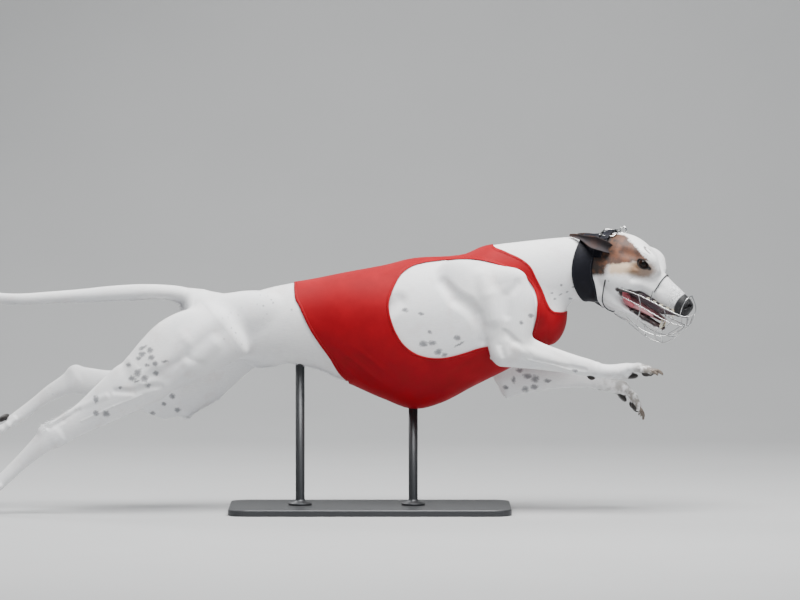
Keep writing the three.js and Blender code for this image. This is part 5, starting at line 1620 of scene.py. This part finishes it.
# %% Eyes
eyes = []
for name, place in eye_places.items():
    ball = bmesh.new()
    bmesh.ops.create_uvsphere(ball, u_segments=48, v_segments=32, radius=eye_radius)
    mesh = bpy.data.meshes.new("eye_ball_" + name)
    ball.to_mesh(mesh)
    ball.free()
    local = np.array([tuple(v.co) for v in mesh.vertices])
    gaze = np.array((0.35, sides[name], 0.02))
    gaze /= np.linalg.norm(gaze)
    aim = local @ gaze / eye_radius
    bulge = 1 + 0.05 * np.clip((aim - 0.75) / 0.25, 0, 1) ** 2
    placed = in_world(local * bulge[:, None] + np.array(place)) * metres
    mesh.vertices.foreach_set("co", placed.ravel())
    mesh.shade_smooth()
    mesh.materials.append(eye_glass)
    eye = bpy.data.objects.new("eye_ball_" + name, mesh)
    bpy.context.scene.collection.objects.link(eye)
    painted(eye, "gaze", aim)
    eyes.append(eye)


# %% Bent tapering forms for teeth, claws and whiskers
def tapered(path, radii, around, each=5):
    """Rings of points along a smooth path, closed at both ends, and their faces."""
    line = smooth_path(path, each)
    shares = np.linspace(0, 1, len(radii))
    points, faces = [], []
    for i, centre in enumerate(line):
        along = line[min(i + 1, len(line) - 1)] - line[max(i - 1, 0)]
        along, across, upward = directions(along + np.array((1e-4, 0, 0)))
        t = i / (len(line) - 1)
        wide = np.interp(t, shares, [r[0] for r in radii])
        deep = np.interp(t, shares, [r[1] for r in radii])
        for side in range(around):
            angle = 2 * math.pi * side / around
            points.append(centre + across * math.cos(angle) * wide + upward * math.sin(angle) * deep)
    last = (len(line) - 1) * around
    faces = ring_faces(len(line), around, False).tolist()
    faces.append(tuple(range(around))[::-1])
    faces.append(tuple(last + i for i in range(around)))
    return points, faces


def gathered(name, shapes, finish):
    """Several closed shapes kept as one piece."""
    points, faces = [], []
    for some_points, some_faces in shapes:
        start = len(points)
        points += list(some_points)
        faces += [tuple(start + i for i in face) for face in some_faces]
    mesh = bpy.data.meshes.new(name)
    mesh.from_pydata((np.array(points) * metres).tolist(), [], faces)
    mesh.shade_smooth()
    mesh.materials.append(finish)
    made = bpy.data.objects.new(name, mesh)
    bpy.context.scene.collection.objects.link(made)
    return made


claw_radii = [(3.2, 4.0), (2.9, 3.7), (2.1, 2.8), (0.5, 0.7)]
gathered("claws", [tapered(path, claw_radii, 12) for path in claws], horn)

# %% Teeth and tongue
def tooth(root, middle, tip, wide, deep):
    """A cone that bends from its root to its tip."""
    radii = [(wide, deep), (wide * 0.95, deep * 0.95), (wide * 0.6, deep * 0.6), (0.35, 0.4)]
    return tapered([in_world(p) for p in (root, middle, tip)], radii, 12)


upper_teeth, lower_teeth = [], []
for side in sides.values():
    upper_teeth.append(tooth((170, 12 * side, 450), (172, 13 * side, 440), (171, 13.2 * side, 431), 2.8, 3.6))
    lower_teeth.append(tooth((139, 9 * side, 406), (146, 10.4 * side, 418), (146, 10.6 * side, 431),
                             2.8, 3.5))
    for i in range(3):
        spread = (2.2 + 3.4 * i) * side
        upper_teeth.append(tooth((186 - 2 * i, spread, 444), (187 - 2 * i, spread, 439),
                                 (186 - 2 * i, spread, 435), 2.0, 1.9))
        spread = (1.8 + 3 * i) * side
        lower_teeth.append(tooth((144 - i, spread, 405), (147 - i, spread, 411),
                                 (147 - i, spread, 416), 1.6, 1.6))
    for i in range(4):
        out, high = (14.5 + 2.6 * i) * side, 453 + 7.2 * i
        upper_teeth.append(tooth((160 - 14 * i, out, high), (159 - 14 * i, out, high - 5),
                                 (158 - 14 * i, out, high - 8.5 - i * 0.4), 2.2, 4.2))
        out, high = (11 + 2.6 * i) * side, 414 + 7 * i
        lower_teeth.append(tooth((126 - 12 * i, out, high - 1), (127 - 12 * i, out, high + 3),
                                 (127 - 12 * i, out, high + 6 + i * 0.4), 2.0, 3.8))
gathered("teeth_upper", upper_teeth, ivory)
gathered("teeth_lower", lower_teeth, ivory)
tongue_forms = [turned(form) for form in (
    length((40, 0, 474), (150, 0, 423), (10, 9), [
        (0, 13, -8, 21, 0), (30, 16, -8, 20, 0), (62, 16, -7, 18, 0), (90, 12, -6, 15, 0),
        (115, 6, -4, 12, 0)], 5),
    cord_of_flesh([(50, 0, 488), (100, 0, 464), (150, 0, 433)], [2.4, 2.2, 1.6], 5, carves=True))]
tongue_points, tongue_faces = skin_over(tongue_forms, (520, -60, 400), (700, 40, 500), 1.6)
piece_from("tongue_wet", tongue_points, tongue_faces, tongue_pink)
print("teeth:", len(upper_teeth) + len(lower_teeth), "tongue faces:", len(tongue_faces))

# %% [markdown]
# ## Display stand
# The leaping dog is carried by a flat painted plate and two round rods, as in a museum. Each
# rod has a turned flange at its foot. The edges are rounded, because a sharp edge on painted
# steel never catches the light as real plate does.

# %% Plate and rods
base_low, base_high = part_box("stand_base")
plate_mesh = bmesh.new()
corner_radius, corner_steps = 0.040, 12
outline = []
for quarter, (sx, sy) in enumerate(((1, 1), (-1, 1), (-1, -1), (1, -1))):
    centre_x = sx * ((base_high.x - base_low.x) / 2 - corner_radius)
    centre_y = sy * ((base_high.y - base_low.y) / 2 - corner_radius)
    for i in range(corner_steps + 1):
        angle = math.pi / 2 * (quarter + i / corner_steps)
        outline.append((centre_x + corner_radius * math.cos(angle),
                        centre_y + corner_radius * math.sin(angle)))
edge = 0.0015
levels = [(0.0, edge), (edge, 0.0), (base_high.z - edge * 2, 0.0), (base_high.z - edge, edge * 0.3),
          (base_high.z, edge * 1.4)]
loops = []
for height, inset in levels:
    shrink_x = 1 - inset / (base_high.x - base_low.x) * 2
    shrink_y = 1 - inset / (base_high.y - base_low.y) * 2
    loops.append([plate_mesh.verts.new((x * shrink_x, y * shrink_y, height)) for x, y in outline])
for lower, upper in zip(loops, loops[1:]):
    for i in range(len(outline)):
        j = (i + 1) % len(outline)
        plate_mesh.faces.new((lower[i], lower[j], upper[j], upper[i]))
plate_mesh.faces.new(loops[0][::-1])
plate_mesh.faces.new(loops[-1])
stand_mesh = bpy.data.meshes.new("stand_plate")
plate_mesh.to_mesh(stand_mesh)
plate_mesh.free()
stand_mesh.materials.append(stand_paint)
stand_plate = bpy.data.objects.new("stand_plate", stand_mesh)
bpy.context.scene.collection.objects.link(stand_plate)
for place in ("front", "rear"):
    rod_low, rod_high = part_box("stand_rod_" + place)
    middle = (rod_low.x + rod_high.x) / 2 * 1000
    foot, top = rod_low.z * 1000, rod_high.z * 1000
    profile = [(0, foot), (25.4, foot), (26, foot + 0.8), (26, foot + 3.6), (25, foot + 4.4), (14, foot + 8),
               (11, foot + 10.5), (10, foot + 14), (10, top), (0, top)]
    around = 48
    points = [(middle + max(r, 0.01) * math.cos(a), max(r, 0.01) * math.sin(a), z)
              for r, z in profile for a in np.arange(around) * 2 * math.pi / around]
    piece_from("stand_rod_turned_" + place, points, ring_faces(len(profile), around, False), stand_paint)

# %% [markdown]
# ## Tufts of short hair
# A greyhound's coat lies flat, so most of it is fine relief in the material. It only breaks the
# outline in a few places: along the tail, down the backs of the thighs, along the belly, at the
# far elbow and at the throat. Each tuft is a thin bent blade. The Geometry Nodes tree below sets
# a blade on every given root, turned along the given lie of the coat.

# %% One blade, and the tree that repeats it
blade_mesh = bpy.data.meshes.new("hair_blade")
blade_rows = [(0.0, 0.00045, 0.0), (0.35, 0.00040, 0.00035),
              (0.7, 0.00026, 0.0009), (1.0, 0.00003, 0.0017)]
blade_length = 0.01
blade_points = []
for along, wide, lift in blade_rows:
    reach = along * blade_length
    blade_points += [(reach, -wide, lift), (reach, 0, lift + wide * 0.7), (reach, wide, lift)]
blade_faces = []
for row in range(len(blade_rows) - 1):
    for corner in range(3):
        here, after = row * 3 + corner, row * 3 + (corner + 1) % 3
        blade_faces.append((here, here + 3, after + 3, after))
blade_faces += [(0, 1, 2), (9, 11, 10)]
blade_mesh.from_pydata(blade_points, [], blade_faces)
blade_source = bpy.data.objects.new("hair_blade", blade_mesh)


def blade_tree():
    """Puts the blade on every point, turned and sized by the point's own values."""
    tree = bpy.data.node_groups.new("hair_tufts", "GeometryNodeTree")
    tree.interface.new_socket("Geometry", in_out="INPUT", socket_type="NodeSocketGeometry")
    tree.interface.new_socket("Size", in_out="INPUT", socket_type="NodeSocketFloat")
    tree.interface.new_socket("Seed", in_out="INPUT", socket_type="NodeSocketInt")
    tree.interface.new_socket("Material", in_out="INPUT", socket_type="NodeSocketMaterial")
    tree.interface.new_socket("Geometry", in_out="OUTPUT", socket_type="NodeSocketGeometry")
    nodes, links = tree.nodes, tree.links
    given, made = nodes.new("NodeGroupInput"), nodes.new("NodeGroupOutput")
    blade = nodes.new("GeometryNodeObjectInfo")
    blade.inputs["Object"].default_value = blade_source
    place = nodes.new("GeometryNodeInstanceOnPoints")
    along, out = nodes.new("GeometryNodeInputNamedAttribute"), nodes.new("GeometryNodeInputNamedAttribute")
    for reader, name in ((along, "lie"), (out, "out")):
        reader.data_type = "FLOAT_VECTOR"
        reader.inputs["Name"].default_value = name
    lay = nodes.new("FunctionNodeAlignRotationToVector")
    lay.axis = "X"
    stand = nodes.new("FunctionNodeAlignRotationToVector")
    stand.axis = "Z"
    stand.pivot_axis = "X"
    chance = nodes.new("FunctionNodeRandomValue")
    chance.inputs[2].default_value = 0.65
    chance.inputs[3].default_value = 1.25
    size = nodes.new("ShaderNodeMath")
    size.operation = "MULTIPLY"
    real, finish = nodes.new("GeometryNodeRealizeInstances"), nodes.new("GeometryNodeSetMaterial")
    for start, end in (
            (given.outputs["Geometry"], place.inputs["Points"]),
            (blade.outputs["Geometry"], place.inputs["Instance"]),
            (along.outputs["Attribute"], lay.inputs["Vector"]),
            (lay.outputs["Rotation"], stand.inputs["Rotation"]),
            (out.outputs["Attribute"], stand.inputs["Vector"]),
            (stand.outputs["Rotation"], place.inputs["Rotation"]),
            (given.outputs["Seed"], chance.inputs["Seed"]),
            (chance.outputs[1], size.inputs[0]),
            (given.outputs["Size"], size.inputs[1]),
            (size.outputs["Value"], place.inputs["Scale"]),
            (place.outputs["Instances"], real.inputs["Geometry"]),
            (real.outputs["Geometry"], finish.inputs["Geometry"]),
            (given.outputs["Material"], finish.inputs["Material"]),
            (finish.outputs["Geometry"], made.inputs["Geometry"])):
        links.new(start, end)
    return tree


hair_blades = blade_tree()
chances = np.random.default_rng(7)


def tuft_strip(path, side_spread, count, lean):
    """Roots scattered along a path of (x, y, z) places, settled on the skin, with their lie."""
    line = np.array(path, float)
    picks = chances.uniform(0, len(line) - 1.001, count)
    first = picks.astype(int)
    share = (picks - first)[:, None]
    roots = line[first] * (1 - share) + line[first + 1] * share
    roots += chances.normal(0, 1, (count, 3)) * side_spread
    roots = settled(all_forms, roots, skin_level)
    out, _ = outward_at(all_forms, roots)
    depth = depth_at(all_forms, roots)
    lie = np.array(lean, float) + chances.normal(0, 0.22, (count, 3))
    lie -= out * (lie * out).sum(1)[:, None] * 0.75
    lie /= np.linalg.norm(lie, axis=1)[:, None]
    close = np.abs(depth - skin_level) < 1.0
    return roots[close], lie[close], out[close]


strips = [
    tuft_strip([(-392, 0, 445), (-420, 0, 458), (-520, 0, 466),
                (-640, 0, 461), (-780, 0, 456), (-900, 0, 482)],
               (4, 5, 2), 1700, (-1, 0, -0.35)),
    tuft_strip([(-388, 0, 420), (-402, -18, 440), (-400, 18, 440)], (8, 12, 10), 700, (-0.6, 0, -0.8)),
    tuft_strip([(-365, -62, 300), (-420, -66, 262), (-470, -70, 236)], (8, 9, 6), 900, (-0.8, 0, -0.6)),
    tuft_strip([(-330, 62, 260), (-372, 66, 216), (-400, 70, 200)], (8, 9, 6), 900, (-0.5, 0, -0.85)),
    tuft_strip([(-620, -76, 235), (-680, -76, 205), (-708, -76, 190)], (5, 6, 4), 400, (-0.9, 0, 0.1)),
    tuft_strip([(-180, 0, 334), (-120, 0, 318), (-60, 0, 290)], (6, 14, 3), 700, (-0.9, 0, -0.35)),
    tuft_strip([(-268, 0, 336), (-228, 0, 320), (-196, 0, 330)], (6, 6, 3), 350, (-0.8, 0, -0.5)),
    tuft_strip([(300, 74, 300), (312, 76, 282), (322, 76, 276)], (6, 8, 5), 260, (-0.7, 0, -0.5)),
    tuft_strip([(400, 0, 438), (430, 0, 452), (455, 0, 462)], (8, 14, 3), 450, (-0.6, 0, -0.5)),
    tuft_strip([(515, 0, 470), (535, -8, 452), (545, -10, 440)], (9, 16, 5), 450, (-0.8, 0, -0.4)),
]
roots = np.concatenate([s[0] for s in strips])
lies = np.concatenate([s[1] for s in strips])
outs = np.concatenate([s[2] for s in strips])
roots = roots - outs * 0.3
hair_points = bpy.data.meshes.new("hair_roots")
hair_points.from_pydata((roots * metres).tolist(), [], [])
hair_points.attributes.new("lie", "FLOAT_VECTOR", "POINT").data.foreach_set("vector", lies.ravel())
hair_points.attributes.new("out", "FLOAT_VECTOR", "POINT").data.foreach_set("vector", outs.ravel())
hair_guide = bpy.data.objects.new("hair_roots", hair_points)
bpy.context.scene.collection.objects.link(hair_guide)
modifier = hair_guide.modifiers.new("hair", "NODES")
modifier.node_group = hair_blades
sockets = {s.name: s.identifier for s in hair_blades.interface.items_tree if s.in_out == "INPUT"}
modifier[sockets["Size"]] = 1.15
modifier[sockets["Seed"]] = 3
modifier[sockets["Material"]] = coat
graph = bpy.context.evaluated_depsgraph_get()
tuft_mesh = bpy.data.meshes.new_from_object(hair_guide.evaluated_get(graph))
bpy.data.objects.remove(hair_guide)
tuft_mesh.name = "coat_tufts"
tufts = bpy.data.objects.new("coat_tufts", tuft_mesh)
bpy.context.scene.collection.objects.link(tufts)
if coat.name not in tuft_mesh.materials:
    tuft_mesh.materials.append(coat)

# %% [markdown]
# Every tuft also gets its own small patch on an unwrap of the skin: the trunk is unrolled round
# its long axis, so a patch sits where the tuft's root sits.

# %% A patch for every tuft
points_each = len(blade_points)
around_trunk = np.arctan2(outs[:, 1], outs[:, 2]) / (2 * math.pi) + 0.5
patch_middle = np.stack([(roots[:, 0] + 950) / 1700, around_trunk], 1) * 0.98 + 0.01
corner_points = np.empty(len(tuft_mesh.loops), int)
tuft_mesh.loops.foreach_get("vertex_index", corner_points)
blade_shape = np.array(blade_points)
patch_size, blade_breadth = 0.003, 0.0009
patch_shape = np.stack([
    blade_shape[:, 0] / blade_length - 0.5, blade_shape[:, 1] / blade_breadth], 1) * patch_size
if len(tuft_mesh.vertices) == points_each * len(roots):
    owner, corner = corner_points // points_each, corner_points % points_each
    patches = patch_middle[owner] + patch_shape[corner]
    tuft_mesh.uv_layers.new(name="OFBake").data.foreach_set("uv", patches.ravel())
print("tufts:", len(roots), "faces:", len(tuft_mesh.polygons), "patches:", "OFBake" in tuft_mesh.uv_layers)

# %% Whiskers and brow hairs
whisker_shapes = []
for side in sides.values():
    for a, c, long in ((176, 452, 26), (168, 456, 30), (160, 460, 30), (170, 447, 24), (158, 452, 26),
                       (124, 566, 16), (118, 568, 14), (90, 520, 18), (132, 411, 16), (122, 412, 14)):
        reach = side_surface(head_base, a, c, side)
        if abs(reach) < 2:
            continue
        root = np.array((a, reach - side * 0.8, c), float)
        sweep = np.array((-0.55, 0.75 * side, -0.35 if c < 540 else 0.6))
        tip = root + sweep * long + (0, 0, -3)
        path = [in_world(spot) for spot in (root, root + sweep * long * 0.5, tip)]
        whisker_shapes.append(tapered(path, [(0.28, 0.28), (0.2, 0.2), (0.06, 0.06)], 5))
gathered("whiskers", whisker_shapes, horn)
print("whiskers:", len(whisker_shapes))

# %% Drops of weld on the wires' crossings
crossings = []
for i, line in enumerate(basket_lines):
    for other in basket_lines[i + 1:]:
        apart = np.linalg.norm(line[:, None] - other[None], axis=2)
        for row in range(len(line)):
            column = int(apart[row].argmin())
            if apart[row, column] < 2.0:
                place = (line[row] + other[column]) / 2
                if all(np.linalg.norm(place - known) > 5 for known in crossings):
                    crossings.append(place)
drop_ball = bmesh.new()
bmesh.ops.create_icosphere(drop_ball, subdivisions=2, radius=1.0)
drop_points = np.array([tuple(v.co) for v in drop_ball.verts])
drop_faces = [tuple(v.index for v in face.verts) for face in drop_ball.faces]
drop_ball.free()
drop_radius = 1.75
gathered("muzzle_wires_weld_drops",
         [(in_world(place + drop_points * drop_radius), drop_faces) for place in crossings], wire_steel)
print("weld drops:", len(crossings))

# %% [markdown]
# ## Floor, light and camera
# The light is a large soft one from above, as under a bright overcast sky, with a weak fill from
# the camera's side and a third lamp behind the dog for its edge. The backdrop is painted on its inner side only, so that a camera
# behind it still sees the dog. The camera is far away with a long lens, because the photograph
# shows almost no perspective.

# %% Floor, lights and camera
def floor_finish(shade, where):
    grain = shade.noise(where, 3, 3, 0.5)
    return {"Base Color": shade.mix(grain, (0.40, 0.405, 0.41), (0.43, 0.435, 0.44)), "Roughness": 0.7}


floor_paint = material("pale_floor", floor_finish)
floor_tree = floor_paint.node_tree
clear = floor_tree.nodes.new("ShaderNodeBsdfTransparent")
side = floor_tree.nodes.new("ShaderNodeNewGeometry")
by_side = floor_tree.nodes.new("ShaderNodeMixShader")
floor_tree.links.new(side.outputs["Backfacing"], by_side.inputs["Fac"])
floor_tree.links.new(floor_tree.nodes["Principled BSDF"].outputs["BSDF"], by_side.inputs[1])
floor_tree.links.new(clear.outputs["BSDF"], by_side.inputs[2])
floor_tree.links.new(by_side.outputs["Shader"], floor_tree.nodes["Material Output"].inputs["Surface"])
floor_profile = [(-9.0, 0.0), (2.2, 0.0)]
floor_profile += [(2.2 + 1.5 * math.sin(a), 1.5 - 1.5 * math.cos(a))
                  for a in np.radians((15, 30, 45, 60, 75, 90))]
floor_profile += [(3.7, 9.0)]
floor_points = [(x * 1000, y * 1000, z * 1000) for y, z in floor_profile for x in (-9, 9)]
floor_faces = [(2 * i, 2 * i + 1, 2 * i + 3, 2 * i + 2) for i in range(len(floor_profile) - 1)]
floor = piece_from("floor_and_backdrop", floor_points, floor_faces, floor_paint)
rear_points = [(x * 1000, y * 1000, -0.5) for y in (2.2, 16.0) for x in (-9, 9)]
rear_floor = piece_from("floor_behind_backdrop", rear_points, [(0, 1, 3, 2)], floor_paint)


def soft_light(name, place, aim, size, power, colour=(1, 1, 1)):
    lamp = bpy.data.lights.new(name, "AREA")
    lamp.shape = "RECTANGLE"
    lamp.size, lamp.size_y = size
    lamp.energy = power
    lamp.color = colour
    made = bpy.data.objects.new(name, lamp)
    made.location = place
    made.rotation_mode = "QUATERNION"
    made.rotation_quaternion = (Vector(aim) - Vector(place)).to_track_quat("-Z", "Y")
    bpy.context.scene.collection.objects.link(made)


soft_light("sky", (0.5, -0.9, 3.2), (0, 0, 0.4), (2.4, 1.8), 330, (1, 0.995, 0.98))
soft_light("front_fill", (1.8, -3.6, 1.5), (0.1, 0, 0.4), (2.2, 1.8), 17, (0.9, 0.95, 1))
soft_light("rim", (-1.6, 1.7, 2.4), (-0.1, 0, 0.45), (1.6, 1.2), 60)
world = bpy.data.worlds.new("studio")
world.use_nodes = True
world.node_tree.nodes["Background"].inputs["Color"].default_value = (0.78, 0.88, 1, 1)
world.node_tree.nodes["Background"].inputs["Strength"].default_value = 0.11
seen_sky = world.node_tree.nodes.new("ShaderNodeBackground")
seen_sky.inputs["Color"].default_value = (0.062, 0.068, 0.073, 1)
sky_path = world.node_tree.nodes.new("ShaderNodeLightPath")
by_ray = world.node_tree.nodes.new("ShaderNodeMixShader")
lit_sky = world.node_tree.nodes["Background"]
sky_output = world.node_tree.nodes["World Output"]
for start, end in (
        (sky_path.outputs["Is Camera Ray"], by_ray.inputs["Fac"]),
        (lit_sky.outputs["Background"], by_ray.inputs[1]),
        (seen_sky.outputs["Background"], by_ray.inputs[2]),
        (by_ray.outputs["Shader"], sky_output.inputs["Surface"])):
    world.node_tree.links.new(start, end)
bpy.context.scene.world = world

focus = Vector((0.066, 0.0, 0.466))
distance, elevation, frame_width, sensor = 12.0, math.radians(2.5), 1.76, 36.0
camera_data = bpy.data.cameras.new("camera")
camera_data.sensor_width = sensor
camera_data.lens = sensor * distance / frame_width
camera_data.clip_end = 60
camera = bpy.data.objects.new("camera", camera_data)
back = Vector((0, -math.cos(elevation), math.sin(elevation)))
camera.location = focus + back * distance
camera.rotation_mode = "QUATERNION"
camera.rotation_quaternion = (-back).to_track_quat("-Z", "Y")
bpy.context.scene.collection.objects.link(camera)
bpy.context.scene.camera = camera

# %% [markdown]
# ## What each piece stands for
# The part has no joints, so every piece rides on the one body. A table names the CAD nodes that some pieces
# stand for, and those nodes are hidden.

# %% Ride and replace
flesh_nodes = [n for n in frame["nodes"] if n.split("_right")[0].split("_left")[0] in (
    "head", "jaw", "neck", "torso", "tail", "upper_arm", "forearm", "fore_paw", "thigh", "shank",
    "metatarsus", "hind_paw", "nose")]
stands_for = {
    "jacket_cloth": ("jacket",), "collar_leather": ("collar",), "muzzle_wires": ("muzzle_basket",),
    "muzzle_nose_wire_coated": ("muzzle_nose_wire",),
    "muzzle_throat_wire_coated": ("muzzle_throat_cord",), "muzzle_strap_leather": ("muzzle_strap",),
    "muzzle_buckle_frame": ("muzzle_buckle",), "ear_leaf_right": ("ear_right",),
    "ear_leaf_left": ("ear_left",), "eye_ball_right": ("eye_right",), "eye_ball_left": ("eye_left",),
    "tongue_wet": ("tongue",), "stand_plate": ("stand_base",),
    "stand_rod_turned_front": ("stand_rod_front",), "stand_rod_turned_rear": ("stand_rod_rear",),
    "skin_forequarters": tuple(flesh_nodes),
}
for piece in list(bpy.context.scene.objects):
    if piece.type != "MESH" or piece in (floor, rear_floor) or "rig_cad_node" in piece:
        continue
    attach(piece, root_body)
    if piece.name in stands_for:
        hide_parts(*stands_for[piece.name])
cloth_width = 0.78
cloth_area / cloth_width * 1.05
